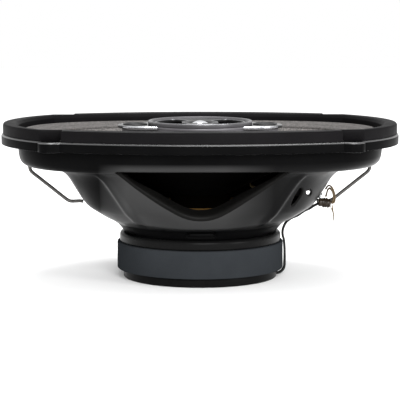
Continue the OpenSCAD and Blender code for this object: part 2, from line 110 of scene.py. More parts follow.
def grid_faces(nu, nv, close_u=False, close_v=False):
    f = []
    for i in range(nu if close_u else nu - 1):
        for j in range(nv if close_v else nv - 1):
            a = i * nv + j
            b = i * nv + (j + 1) % nv
            c = ((i + 1) % nu) * nv + (j + 1) % nv
            d = ((i + 1) % nu) * nv + j
            f.append((a, b, c, d))
    return f


def rounded_profile(P, R, seg=5, closed=True):
    """2D polyline P with each corner rounded by its radius in R."""
    P = [np.array(p, float) for p in P]
    n = len(P)
    if np.isscalar(R):
        R = [R] * n
    out = []
    for i in range(n):
        if not closed and i in (0, n - 1):
            out.append(P[i])
            continue
        a, b, c = P[i - 1], P[i], P[(i + 1) % n]
        u, w = a - b, c - b
        lu, lw = np.linalg.norm(u), np.linalg.norm(w)
        if R[i] <= 0 or lu < 1e-6 or lw < 1e-6:
            out.append(b)
            continue
        u, w = u / lu, w / lw
        cosang = np.clip(u @ w, -1, 1)
        half = math.acos(cosang) / 2
        if half > PI / 2 - 0.02:
            out.append(b)
            continue
        d = min(R[i] / math.tan(half), lu * 0.48, lw * 0.48)
        r = d * math.tan(half)
        bis = (u + w) / np.linalg.norm(u + w)
        cen = b + bis * (r / math.sin(half))
        p0, p1 = b + u * d, b + w * d
        a0 = math.atan2(*(p0 - cen)[::-1])
        a1 = math.atan2(*(p1 - cen)[::-1])
        da = (a1 - a0 + PI) % (2 * PI) - PI
        for k in range(seg + 1):
            t = a0 + da * k / seg
            out.append(cen + r * np.array([math.cos(t), math.sin(t)]))
    return out


def lathe(name, prof, seg=128, closed=True, center=(0, 0), sharp=35, mesh=None):
    """Revolves a profile of (radius, z) about a vertical axis; on-axis ends are welded."""
    prof = [(max(r, 0.0), z) for r, z in prof]
    m = mesh or Mesh()
    V, idx = [], []
    for r, z in prof:
        if r < 1e-6:
            idx.append([len(V)] * seg)
            V.append((center[0], center[1], z))
        else:
            idx.append(list(range(len(V), len(V) + seg)))
            for j in range(seg):
                t = 2 * PI * j / seg
                V.append((center[0] + r * math.cos(t), center[1] + r * math.sin(t), z))
    F = []
    n = len(prof)
    for i in range(n if closed else n - 1):
        a, b = idx[i], idx[(i + 1) % n]
        for j in range(seg):
            k = (j + 1) % seg
            q = []
            for t in (a[j], a[k], b[k], b[j]):
                if t not in q:
                    q.append(t)
            if len(q) > 2:
                F.append(tuple(q))
    m.add(V, F)
    if mesh is None:
        return m.obj(name, True, sharp)


def spline(P, n):
    P = np.asarray(P, float)
    k = len(P)
    out = []
    for i in range(k - 1):
        a, b, c, d = P[max(i - 1, 0)], P[i], P[i + 1], P[min(i + 2, k - 1)]
        for s in range(n):
            t = s / n
            out.append(0.5 * (2 * b + (c - a) * t + (2 * a - 5 * b + 4 * c - d) * t * t + (3 * b - a - 3 * c + d) * t ** 3))
    out.append(P[-1])
    return np.array(out)


def frames(P):
    """Parallel-transport frames along a path."""
    P = np.asarray(P, float)
    T = np.gradient(P, axis=0)
    T /= np.linalg.norm(T, axis=1)[:, None]
    ref = np.array([0, 1.0, 0]) if abs(T[0][1]) < 0.9 else np.array([1.0, 0, 0])
    u = np.cross(T[0], ref)
    u /= np.linalg.norm(u)
    U = [u]
    for i in range(1, len(P)):
        u = U[-1] - T[i] * (U[-1] @ T[i])
        U.append(u / np.linalg.norm(u))
    U = np.array(U)
    return T, U, np.cross(T, U)


def tube(m, P, r, g=12, cap=True):
    """Round tube along P; r may be a list. The ends are domed."""
    P = np.asarray(P, float)
    r = np.full(len(P), r, float) if np.isscalar(r) else np.asarray(r, float)
    if cap:
        T0 = (P[0] - P[1]) / np.linalg.norm(P[0] - P[1])
        T1 = (P[-1] - P[-2]) / np.linalg.norm(P[-1] - P[-2])
        P = np.vstack([P[0] + T0 * r[0] * 0.02, P, P[-1] + T1 * r[-1] * 0.02])
        r = np.concatenate([[r[0] * 0.75], r, [r[-1] * 0.75]])
    T, U, W = frames(P)
    V = []
    for i in range(len(P)):
        for j in range(g):
            t = 2 * PI * j / g
            V.append(P[i] + r[i] * (math.cos(t) * U[i] + math.sin(t) * W[i]))
    F = grid_faces(len(P), g, False, True)
    F.append(tuple(range(g)))
    F.append(tuple((len(P) - 1) * g + j for j in range(g - 1, -1, -1)))
    m.add(V, F)


# ------------------------------------------------------------------ plan outlines in polar form


def ray_circle(th, cx, cy, r, far=True):
    """Distance along the ray at angle th to a circle; nan where it misses."""
    dx, dy = np.cos(th), np.sin(th)
    b = dx * cx + dy * cy
    disc = b * b - (cx * cx + cy * cy - r * r)
    s = np.sqrt(np.where(disc < 0, np.nan, disc))
    return b + s if far else b - s


def flange_r(th, g=0.0, ears=False):
    """Plan radius of the flange: two end arcs, two long arcs, screw ears."""
    er, ec, lr = FL_W / 2 + 0.5 + g, FL_L / 2 - FL_W / 2 - 0.5, 225 + g
    c = np.abs(np.cos(th))
    s = np.abs(np.sin(th))
    e = ray_circle(np.arctan2(s, c), ec, 0, er)
    side = er / np.maximum(s, 1e-9)
    inner = np.where(side * c < ec, side, e)
    lo = ray_circle(np.arctan2(s, c), 0, -(225 - FL_W / 2), lr)
    r = np.minimum(inner, lo)
    if ears:
        q = ray_circle(np.arctan2(s, c), SCREW[0], SCREW[1], 6.5 + g)
        q = np.where(np.isnan(q), r - 9, q)
        d = np.clip(q - r, -9, 9)
        r = r + 2.2 * np.log1p(np.exp(d / 2.2)) * (1 / (1 + np.exp(-(d + 4.5) * 1.4)))
    return r


def oval_r(th, a, b, n):
    return (np.abs(np.cos(th) / a) ** n + np.abs(np.sin(th) / b) ** n) ** (-1.0 / n)


def opening_r(th):
    c, s = np.abs(np.cos(th)), np.abs(np.sin(th))
    t = np.arctan2(s, c)
    ec = TA + 0.4 - 85.9
    e = ray_circle(t, ec, 0, 85.9)
    lo = ray_circle(t, 0, TB - 4 - 284, 284)
    return np.minimum(e, lo)


def trim_outer_r(th):
    r = flange_r(th, -1.0)
    c, s = np.abs(np.cos(th)), np.abs(np.sin(th))
    cut = np.maximum(79.5 / np.maximum(c, 1e-9), 59.6 / np.maximum(s, 1e-9))
    return np.minimum(r, cut)


def blur(r, th, width):
    """Rounds the corners of a closed polar outline by averaging over arc length."""
    n = len(r)
    x, y = r * np.cos(th), r * np.sin(th)
    P = np.stack([x, y], 1)
    seg = np.linalg.norm(np.roll(P, -1, 0) - P, axis=1)
    s = np.concatenate([[0], np.cumsum(seg)])
    L = s[-1]
    Q = np.vstack([P, P[:1]])
    out = np.zeros_like(P)
    ks = np.linspace(-1, 1, 9)
    w = 1 - ks ** 2 * 0.9
    w /= w.sum()
    for k, wk in zip(ks, w):
        t = (s[:-1] + k * width) % L
        out[:, 0] += wk * np.interp(t, s, Q[:, 0])
        out[:, 1] += wk * np.interp(t, s, Q[:, 1])
    return out


def resample(P, n):
    """Closed outline resampled to n points evenly spaced along it."""
    P = np.asarray(P, float)
    Q = np.vstack([P, P[:1]])
    seg = np.linalg.norm(np.diff(Q, axis=0), axis=1)
    s = np.concatenate([[0], np.cumsum(seg)])
    t = np.linspace(0, s[-1], n, endpoint=False)
    return np.stack([np.interp(t, s, Q[:, 0]), np.interp(t, s, Q[:, 1])], 1)


def outline_normals(P):
    """Outward unit normals of a closed counter-clockwise outline."""
    d = np.roll(P, -1, 0) - np.roll(P, 1, 0)
    d /= np.linalg.norm(d, axis=1)[:, None]
    return np.stack([d[:, 1], -d[:, 0]], 1)


DENSE = np.linspace(0, 2 * PI, 7200, endpoint=False)


def outline(fn, n, rnd=0.0):
    r = fn(DENSE)
    P = np.stack([r * np.cos(DENSE), r * np.sin(DENSE)], 1)
    if rnd > 0:
        P = blur(r, DENSE, rnd)
    return resample(P, n)


def circle_pts(r, n, cx=0.0, cy=0.0):
    t = np.linspace(0, 2 * PI, n, endpoint=False)
    return np.stack([cx + r * np.cos(t), cy + r * np.sin(t)], 1)


def plate(m, outer, holes, z0, z1, r_top=0.4, r_bot=0.3, seg=3, hole_r=None):
    """Flat plate with rounded edges: one outer outline, any number of holes."""
    loops = [(np.asarray(outer, float), 1)] + [(np.asarray(h, float), -1) for h in holes]
    tops, bots = [], []
    for P, side in loops:
        area = 0.5 * np.sum(P[:, 0] * np.roll(P[:, 1], -1) - np.roll(P[:, 0], -1) * P[:, 1])
        if area < 0:
            P = P[::-1]
        N = outline_normals(P) * side
        rt = r_top if side > 0 or hole_r is None else hole_r
        rb = r_bot
        rows = []
        for k in range(seg + 1):
            a = PI / 2 * k / seg
            rows.append((P - N * rt * (1 - math.sin(a)), z1 - rt * (1 - math.cos(a))))
        for k in range(seg + 1):
            a = PI / 2 * k / seg
            rows.append((P - N * rb * (1 - math.cos(a)), z0 + rb * (1 - math.sin(a))))
        V = np.vstack([np.column_stack([p, np.full(len(p), z)]) for p, z in rows])
        o = m.add(V, grid_faces(len(rows), len(P), False, True))
        tops.append((o, rows[0][0]))
        bots.append((o + (len(rows) - 1) * len(P), rows[-1][0]))
    for part in (tops, bots):
        flat, idx = [], []
        for o, p in part:
            flat.append([Vector((q[0], q[1], 0)) for q in p])
            idx.extend(range(o, o + len(p)))
        for tri in geometry.tessellate_polygon(flat):
            m.f.append(tuple(idx[i] for i in tri))


# ------------------------------------------------------------------ materials


def srgb(r, g=None, b=None):
    """0-255 display values to linear."""
    if g is None:
        g = b = r
    return tuple(((c / 255) / 12.92 if c / 255 <= 0.04045 else ((c / 255 + 0.055) / 1.055) ** 2.4) for c in (r, g, b))


class Mat:
    """Small builder for procedural materials."""

    def __init__(self, name):
        self.m = bpy.data.materials.new(name)
        self.m.use_nodes = True
        self.nt = self.m.node_tree
        self.b = self.nt.nodes["Principled BSDF"]
        self.co = self.nt.nodes.new("ShaderNodeTexCoord").outputs["Object"]

    def node(self, kind, **inputs):
        n = self.nt.nodes.new(kind)
        for k, v in inputs.items():
            key = k.replace("_", " ")
            if hasattr(v, "is_linked") or hasattr(v, "links"):
                self.nt.links.new(v, n.inputs[key])
            else:
                n.inputs[key].default_value = v
        return n

    def link(self, a, b):
        self.nt.links.new(a, b)

    def noise(self, scale, detail=4.0, rough=0.55, co=None, dist=0.0):
        n = self.nt.nodes.new("ShaderNodeTexNoise")
        n.inputs["Scale"].default_value = scale
        n.inputs["Detail"].default_value = detail
        n.inputs["Roughness"].default_value = rough
        n.inputs["Distortion"].default_value = dist
        self.link(co if co is not None else self.co, n.inputs["Vector"])
        return n.outputs["Fac"]

    def scaled(self, s):
        n = self.nt.nodes.new("ShaderNodeMapping")
        n.inputs["Scale"].default_value = s
        self.link(self.co, n.inputs["Vector"])
        return n.outputs["Vector"]

    def ramp(self, fac, stops):
        n = self.nt.nodes.new("ShaderNodeValToRGB")
        e = n.color_ramp.elements
        while len(e) < len(stops):
            e.new(0.5)
        for i, (p, c) in enumerate(stops):
            e[i].position = p
            e[i].color = (*c, 1.0) if not np.isscalar(c) else (c, c, c, 1.0)
        self.link(fac, n.inputs["Fac"])
        return n.outputs["Color"]

    def math(self, op, a, b=None, c=None):
        n = self.nt.nodes.new("ShaderNodeMath")
        n.operation = op
        for i, v in enumerate((a, b, c)):
            if v is None:
                continue
            if np.isscalar(v):
                n.inputs[i].default_value = v
            else:
                self.link(v, n.inputs[i])
        return n.outputs[0]

    def mix(self, fac, a, b):
        n = self.nt.nodes.new("ShaderNodeMix")
        n.data_type = "RGBA"
        for sock, v in ((n.inputs["Factor"], fac), (n.inputs[6], a), (n.inputs[7], b)):
            if hasattr(v, "links"):
                self.link(v, sock)
            elif np.isscalar(v):
                sock.default_value = v
            else:
                sock.default_value = (*v, 1.0)
        return n.outputs[2]

    def bump(self, height, strength=0.2, dist=0.0002, normal=None):
        n = self.nt.nodes.new("ShaderNodeBump")
        n.inputs["Strength"].default_value = strength
        n.inputs["Distance"].default_value = dist
        self.link(height, n.inputs["Height"])
        if normal is not None:
            self.link(normal, n.inputs["Normal"])
        return n.outputs["Normal"]

    def set(self, **kw):
        for k, v in kw.items():
            sock = self.b.inputs[k.replace("_", " ")]
            if hasattr(v, "links"):
                self.link(v, sock)
            elif isinstance(v, tuple) and len(v) == 3 and sock.type == "RGBA":
                sock.default_value = (*v, 1.0)
            else:
                sock.default_value = v
        return self


def edge_wear(M, lo=0.52, hi=0.62):
    """0 on flats, rising along convex edges."""
    g = M.nt.nodes.new("ShaderNodeNewGeometry")
    return M.ramp(g.outputs["Pointiness"], [(lo, 0.0), (hi, 1.0)])


def painted(name, base, rough, coat=0.0, grain=900, peel=140, bump=0.1, vary=0.25, metallic=0.0, wear=0.0, wear_col=None, spec=0.5, painted_sheen=0.0):
    M = Mat(name)
    big = M.noise(35, 3)
    fine = M.noise(grain, 3)
    mott = M.math("ADD", M.math("MULTIPLY", big, 0.6), M.math("MULTIPLY", fine, 0.4))
    lo = tuple(c * (1 - vary) for c in base)
    hi = tuple(min(1, c * (1 + vary)) for c in base)
    col = M.ramp(mott, [(0.35, lo), (0.65, hi)])
    if wear:
        col = M.mix(M.math("MULTIPLY", edge_wear(M), wear), col, wear_col or tuple(min(1, c * 3 + 0.02) for c in base))
    r = M.ramp(M.noise(60, 4), [(0.3, max(0.02, rough - 0.06)), (0.7, min(1, rough + 0.06))])
    n1 = M.bump(M.noise(peel, 2), bump, 0.00015)
    n2 = M.bump(fine, bump * 0.6, 0.00004, n1)
    M.set(Base_Color=col, Roughness=r, Normal=n2, Metallic=metallic)
    M.b.inputs["Specular IOR Level"].default_value = spec
    if painted_sheen:
        # painted sheen: more gloss and a 5% lighter base colour below the rim on the lit middle of the long sides,
        # placed by position where the key light falls
        sp = M.nt.nodes.new("ShaderNodeSeparateXYZ")
        M.link(M.co, sp.inputs["Vector"])
        ml = M.math("MINIMUM", M.math("MAXIMUM", M.math("DIVIDE", M.math("ADD", sp.outputs[0], 0.059), 0.016), 0.0), 1.0)
        mr = M.math("MINIMUM", M.math("MAXIMUM", M.math("DIVIDE", M.math("SUBTRACT", 0.045, sp.outputs[0]), 0.032), 0.1), 1.0)
        mx = M.math("MULTIPLY", ml, mr)
        mz = M.math("MINIMUM", M.math("MAXIMUM", M.math("DIVIDE", M.math("SUBTRACT", -0.0065, sp.outputs[2]), 0.004), 0.0), 1.0)
        mn = M.math("MINIMUM", M.math("MAXIMUM", M.math("DIVIDE", M.math("ADD", sp.outputs[2], 0.0478), 0.0016), 0.0), 1.0)
        k = M.math("MULTIPLY", M.math("MULTIPLY", mx, mz), mn)
        # k is the painted-sheen mask: the base colour is lighter inside it
        M.set(Base_Color=M.mix(k, col, tuple(c * 1.05 for c in base)))
        M.link(M.math("ADD", M.math("MULTIPLY", k, painted_sheen - spec), spec), M.b.inputs["Specular IOR Level"])
    if coat:
        M.b.inputs["Coat Weight"].default_value = coat
        M.b.inputs["Coat Roughness"].default_value = 0.12
    return M.m


MATS = {}
# basket paint with a painted sheen on the lit middle of the long sides
MATS["basket"] = painted("basket_paint", (0.0019, 0.0019, 0.002), 0.34, grain=900, peel=240, bump=0.07, spec=0.014, painted_sheen=0.52)
# painted highlight: a lighter, glossier copy of the basket paint for the folded window lips
MATS["lip"] = painted("basket_lip_painted_highlight", (0.0035, 0.0034, 0.0032), 0.34, grain=900, peel=240, bump=0.07, spec=0.035)
# painted highlight: lighter, very glossy copy of the basket paint for the flange's rounded edges
MATS["edge"] = painted("basket_edge_painted_highlight", (0.02, 0.02, 0.0205), 0.3, grain=900, peel=240, bump=0.07, spec=0.9)
MATS["trim"] = painted("trim_plastic", (0.0042, 0.0039, 0.0043), 0.5, grain=1600, peel=700, bump=0.12, spec=0.025)
MATS["plate"] = painted("motor_plate", (0.0036, 0.0036, 0.0036), 0.3, grain=900, peel=420, bump=0.06, spec=0.045)
MATS["ferrite"] = painted("ferrite", (0.0215, 0.0238, 0.0265), 0.6, grain=1500, peel=300, bump=0.14, vary=0.12, spec=0.0)
MATS["foam"] = painted("gasket_foam", (0.02, 0.02, 0.02), 0.95, grain=700, peel=900, bump=0.7, spec=0.2)
MATS["zinc"] = painted("zinc_steel", (0.32, 0.33, 0.34), 0.34, metallic=1.0, grain=700, peel=400, bump=0.1, vary=0.15)
MATS["brace"] = painted("brace_steel", (0.075, 0.072, 0.068), 0.42, metallic=0.6, grain=700, peel=400, bump=0.12, vary=0.25, spec=0.2)
MATS["gloss"] = painted("pod_gloss", (0.012, 0.012, 0.0125), 0.2, grain=1500, peel=120, bump=0.02, spec=0.22)
# painted reflection: mid-grey copy of the pod plastic for the wall between the wings
MATS["pod"] = painted("pod_shell_painted_reflection", (0.1, 0.096, 0.104), 0.35, grain=1600, peel=500, bump=0.05, spec=0.5)
MATS["satin"] = painted("pod_satin", (0.009, 0.009, 0.0095), 0.4, grain=1800, peel=700, bump=0.08, spec=0.22)
MATS["bezel"] = painted("bezel_metal", (0.2, 0.2, 0.21), 0.26, metallic=1.0, grain=1200, peel=400, bump=0.05, vary=0.1)
MATS["bezel_dark"] = painted("bezel_satin", (0.05, 0.048, 0.052), 0.34, grain=1200, peel=500, bump=0.06, spec=0.45)
MATS["silver"] = painted("dome_silver", (0.72, 0.73, 0.76), 0.2, metallic=1.0, grain=1500, peel=300, bump=0.04, vary=0.06)
MATS["midmetal"] = painted("mid_metal", (0.12, 0.12, 0.13), 0.35, metallic=1.0, grain=900, peel=300, bump=0.1)
MATS["black_lead"] = painted("lead_black", (0.006, 0.006, 0.006), 0.35, grain=1800, peel=800, bump=0.08, spec=0.25)
# near black for the cone's back face: partly the cone's darker back, partly painted shade inside the basket
MATS["cone_back"] = painted("cone_back_painted_shade", (0.0018, 0.0018, 0.0017), 0.85, grain=1100, peel=800, bump=0.4, spec=0.03)
MATS["cloth"] = painted("surround_cloth", (0.011, 0.011, 0.0115), 0.85, grain=1400, peel=900, bump=0.4, spec=0.1)
MATS["spider"] = painted("spider_cloth", (0.10, 0.056, 0.016), 0.85, grain=1200, peel=900, bump=0.5, spec=0.1)
# painted shade: the former film is near black so it reads as the shade inside the motor
MATS["film"] = painted("former_film", (0.0014, 0.0011, 0.0008), 0.75, grain=900, peel=300, bump=0.05, spec=0.0)
MATS["copper"] = painted("copper_wire", (0.45, 0.17, 0.07), 0.3, metallic=1.0, grain=900, peel=600, bump=0.2)
MATS["tinsel"] = painted("tinsel_braid", (0.16, 0.12, 0.05), 0.5, grain=1800, peel=1500, bump=0.5, vary=0.4)
MATS["pulp"] = painted("mid_paper", (0.13, 0.125, 0.132), 0.6, grain=1500, peel=900, bump=0.3, spec=0.2)
MATS["board"] = painted("board_phenolic", (0.03, 0.016, 0.008), 0.5, grain=900, peel=300, bump=0.1, spec=0.2)
MATS["tin"] = painted("terminal_tin", (0.6, 0.55, 0.42), 0.3, metallic=1.0, grain=900, peel=400, bump=0.1)
MATS["cap"] = painted("capacitor_sleeve", (0.022, 0.013, 0.006), 0.35, grain=900, peel=500, bump=0.25, vary=0.5, spec=0.3)
MATS["gold"] = painted("lead_wire_gold", (0.115, 0.08, 0.042), 0.45, metallic=0.6, grain=1500, peel=700, bump=0.3, vary=0.5)


def speckled(name, k=1.0, weave=1500):
    """Woven, mica-flecked cone skin."""
    M = Mat(name)
    v = M.nt.nodes.new("ShaderNodeTexVoronoi")
    v.inputs["Scale"].default_value = weave
    M.link(M.co, v.inputs["Vector"])
    cells = v.outputs["Color"]
    sep = M.nt.nodes.new("ShaderNodeSeparateColor")
    M.link(cells, sep.inputs["Color"])
    grain = M.noise(900, 5, 0.7)
    mixv = M.math("ADD", M.math("MULTIPLY", sep.outputs[0], 0.55), M.math("MULTIPLY", grain, 0.45))
    col = M.ramp(mixv, [(0.2, (0.05 * k, 0.046 * k, 0.044 * k)), (0.5, (0.14 * k, 0.128 * k, 0.122 * k)), (0.8, (0.32 * k, 0.29 * k, 0.275 * k))])
    n1 = M.bump(mixv, 0.5, 0.0001)
    M.set(Base_Color=col, Roughness=M.ramp(grain, [(0.3, 0.45), (0.7, 0.7)]), Normal=n1)
    M.b.inputs["Specular IOR Level"].default_value = 0.3
    return M.m


MATS["cone"] = speckled("cone_poly", 0.41)
MATS["roll"] = speckled("surround_weave", 0.33, 2200)

NODE_MAT = {
    "basket": "basket", "panel_gasket": "foam", "trim_ring": "trim", "top_plate": "plate", "ferrite_magnet": "ferrite",
    "yoke": "plate", "basket_rivets": "zinc", "surround": "cloth", "woofer_cone": "cone", "voice_coil_former": "film",
    "voice_coil_winding": "copper", "spider": "spider", "tinsel_lead_pos": "tinsel", "tinsel_lead_neg": "tinsel",
    "tweeter_post": "satin", "post_nut": "zinc", "post_top_nut": "zinc", "pod_housing": "satin", "pod_cover": "gloss",
    "pod_bezel": "bezel", "pod_grille": "satin", "mid_yoke": "midmetal", "mid_magnet": "ferrite",
    "mid_top_plate": "midmetal", "mid_frame": "satin", "mid_cone": "pulp", "mid_voice_coil": "copper",
    "mid_surround": "cloth", "center_tweeter_cup": "satin", "center_tweeter_magnet": "midmetal", "center_dome": "silver",
    "wing_tweeter_rim_left": "satin", "wing_tweeter_rim_right": "satin", "wing_tweeter_magnet_left": "midmetal",
    "wing_tweeter_magnet_right": "midmetal", "wing_dome_left": "silver", "wing_dome_right": "silver",
    "terminal_board": "board", "terminal_positive": "tin", "terminal_negative": "tin", "terminal_rivets": "zinc",
    "crossover_capacitor": "cap", "capacitor_leads": "gold", "lead_wire_a": "black_lead", "lead_wire_b": "black_lead",
    "brace_wire_left": "brace", "brace_wire_right": "brace"}


def give(ob, mat):
    ob.data.materials.clear()
    ob.data.materials.append(MATS[mat])


for n, m in NODE_MAT.items():
    give(NODES[n], m)

# ------------------------------------------------------------------ lofted pieces


def theta(n):
    return np.linspace(0, 2 * PI, n, endpoint=False)


def loft(m, rows, th, closed=True):
    """Rows of (radius array, z) joined round the polar grid th."""
    V = []
    for r, z in rows:
        r = np.broadcast_to(r, th.shape)
        V.append(np.column_stack([r * np.cos(th), r * np.sin(th), np.broadcast_to(z, th.shape)]))
    m.add(np.vstack(V), grid_faces(len(rows), len(th), closed, True))


def round_path(P, d, seg=4):
    """Rounds the bends of a path of sections; d is how far the rounding reaches."""
    P = np.asarray(P, float)
    ds = [d] * len(P) if np.isscalar(d) else d
    out = [P[0]]
    for i in range(1, len(P) - 1):
        a, b, c = P[i - 1], P[i], P[i + 1]
        la, lc = np.linalg.norm((a - b)[:3]), np.linalg.norm((c - b)[:3])
        p0 = b + (a - b) * min(ds[i] / la, 0.46)
        p1 = b + (c - b) * min(ds[i] / lc, 0.46)
        for k in range(seg + 1):
            t = k / seg
            out.append((1 - t) ** 2 * p0 + 2 * t * (1 - t) * b + t * t * p1)
    out.append(P[-1])
    return np.array(out)


def densify(P, step):
    out = [P[0]]
    for a, b in zip(P[:-1], P[1:]):
        k = max(1, int(math.ceil(np.linalg.norm((b - a)[:3]) / step)))
        for i in range(1, k + 1):
            out.append(a + (b - a) * i / k)
    return np.array(out)


def surface(P, th):
    """Points and outward unit normals of an oval shell: sections (z, a, b, squareness)."""
    X = np.zeros((len(P), len(th), 3))
    for i, (z, a, b, n) in enumerate(P):
        r = oval_r(th, a, b, n)
        X[i, :, 0], X[i, :, 1], X[i, :, 2] = r * np.cos(th), r * np.sin(th), z
    return X, grid_normals(X, th)


def grid_normals(X, th):
    du = np.gradient(X, axis=0)
    dv = (np.roll(X, -1, 1) - np.roll(X, 1, 1))
    N = np.cross(dv, du)
    N /= np.maximum(np.linalg.norm(N, axis=2), 1e-12)[..., None]
    s = N[..., 0] * np.cos(th) + N[..., 1] * np.sin(th) - 0.35 * N[..., 2]
    return N * np.sign(np.where(s == 0, 1, s))[..., None]


def shell(name, P, th, t, sharp=50):
    """Closed oval shell: P is the outer or under face, t the thickness laid inwards (up)."""
    X, N = surface(P, th)
    Y = X - N * t
    m = Mesh()
    k, n = len(P), len(th)
    V = np.vstack([X.reshape(-1, 3), Y[::-1].reshape(-1, 3)])
    m.add(V, grid_faces(2 * k, n, True, True))
    return m.obj(name, True, sharp)


def convex_f(poly, x, z):
    """Distance outside a convex outline (negative inside)."""
    P = np.asarray(poly, float)
    area = 0.5 * np.sum(P[:, 0] * np.roll(P[:, 1], -1) - np.roll(P[:, 0], -1) * P[:, 1])
    if area < 0:
        P = P[::-1]
    f = np.full(np.shape(x), -1e9)
    for a, b in zip(P, np.roll(P, -1, 0)):
        d = b - a
        L = np.linalg.norm(d)
        if L < 1e-6:
            continue
        f = np.maximum(f, ((x - a[0]) * d[1] - (z - a[1]) * d[0]) / L)
    return f


def chaikin(P, it=2):
    P = np.asarray(P, float)
    for _ in range(it):
        Q = np.roll(P, -1, 0)
        P = np.stack([0.75 * P + 0.25 * Q, 0.25 * P + 0.75 * Q], 1).reshape(-1, P.shape[1])
    return P


def chaikin_open(P):
    """Corner cutting that keeps the two end points."""
    P = np.asarray(P, float)
    out = [P[0]]
    for a, b in zip(P[:-1], P[1:]):
        out += [0.75 * a + 0.25 * b, 0.25 * a + 0.75 * b]
    out.append(P[-1])
    return out


def apply_mods(ob, sharp=None):
    bpy.context.view_layer.update()
    dg = bpy.context.evaluated_depsgraph_get()
    me = bpy.data.meshes.new_from_object(ob.evaluated_get(dg))
    old = ob.data
    ob.modifiers.clear()
    ob.data = me
    bpy.data.meshes.remove(old)
    if sharp is not None:
        finish_mesh(ob, True, sharp, recalc=False)
    return ob


def cut(ob, cutters, sharp=None):
    """Takes the cutters out of ob and removes them."""
    for c in cutters:
        md = ob.modifiers.new("cut", "BOOLEAN")
        md.operation = "DIFFERENCE"
        md.solver = "EXACT"
        md.object = c
    apply_mods(ob, sharp)
    for c in cutters:
        me = c.data
        bpy.data.objects.remove(c)
        bpy.data.meshes.remove(me)
    return ob


def piece(ob, mat, body="chassis", nodes=()):
    give(ob, mat)
    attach(ob, body)
    if nodes:
        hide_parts(*nodes)
    return ob


def smooth01(x):
    x = np.clip(x, 0, 1)
    return x * x * (3 - 2 * x)


# ---- basket: pressed sheet with windows, folded lips, ribs
BASKET = [[5.2, 108.7, 72, 2.6], [-3.2, 108.7, 72, 2.6], [-7.7, 108.1, 71.4, 2.6], [-10.5, 106.9, 70.2, 2.6],
          [-12.5, 103.9, 67.8, 2.6], [-13, 90, 67, 2.5], [-15.6, 83.6, 65.4, 2.4], [-19, 79.6, 64.2, 2.35],
          [-27.2, 74.8, 60.8, 2.3], [-36.6, 68.9, 57.4, 2.2], [-40.6, 62.9, 55.8, 2.1], [-44.3, 56.8, 54, 2.05],
          [-46, 53, 53, 2], [-48.6, 49.4, 49.4, 2], [-52.2, 46.6, 46.6, 2], [-53.5, 45.6, 45.6, 2], [-53.5, 22, 22, 2]]
WINDOW = [[-48, -11.8], [-46.5, -13.6], [-39.5, -20], [-32.5, -25.2], [-25.5, -30.2], [-19, -34.2], [-12, -38.2],
          [-6, -40.2], [-0.5, -40.7], [5, -40.2], [11, -38.2], [18, -34.2], [25, -29.8], [32.5, -24.6],
          [40, -19.6], [47, -13.8], [49, -11.8]]
SIDE_F = [[56, -21.6], [58.6, -21.8], [59, -26], [55.4, -31.8], [52.4, -34.6], [50.9, -33.6], [53.2, -27]]
SIDE_H = [[60.6, -24.2], [62, -23.6], [64, -24], [64.5, -27.6], [62.4, -28.6], [60.7, -27.4]]
SIDE_B = [[62, -23], [69.5, -23], [70.5, -26], [66.8, -34.5], [62, -36.6]]


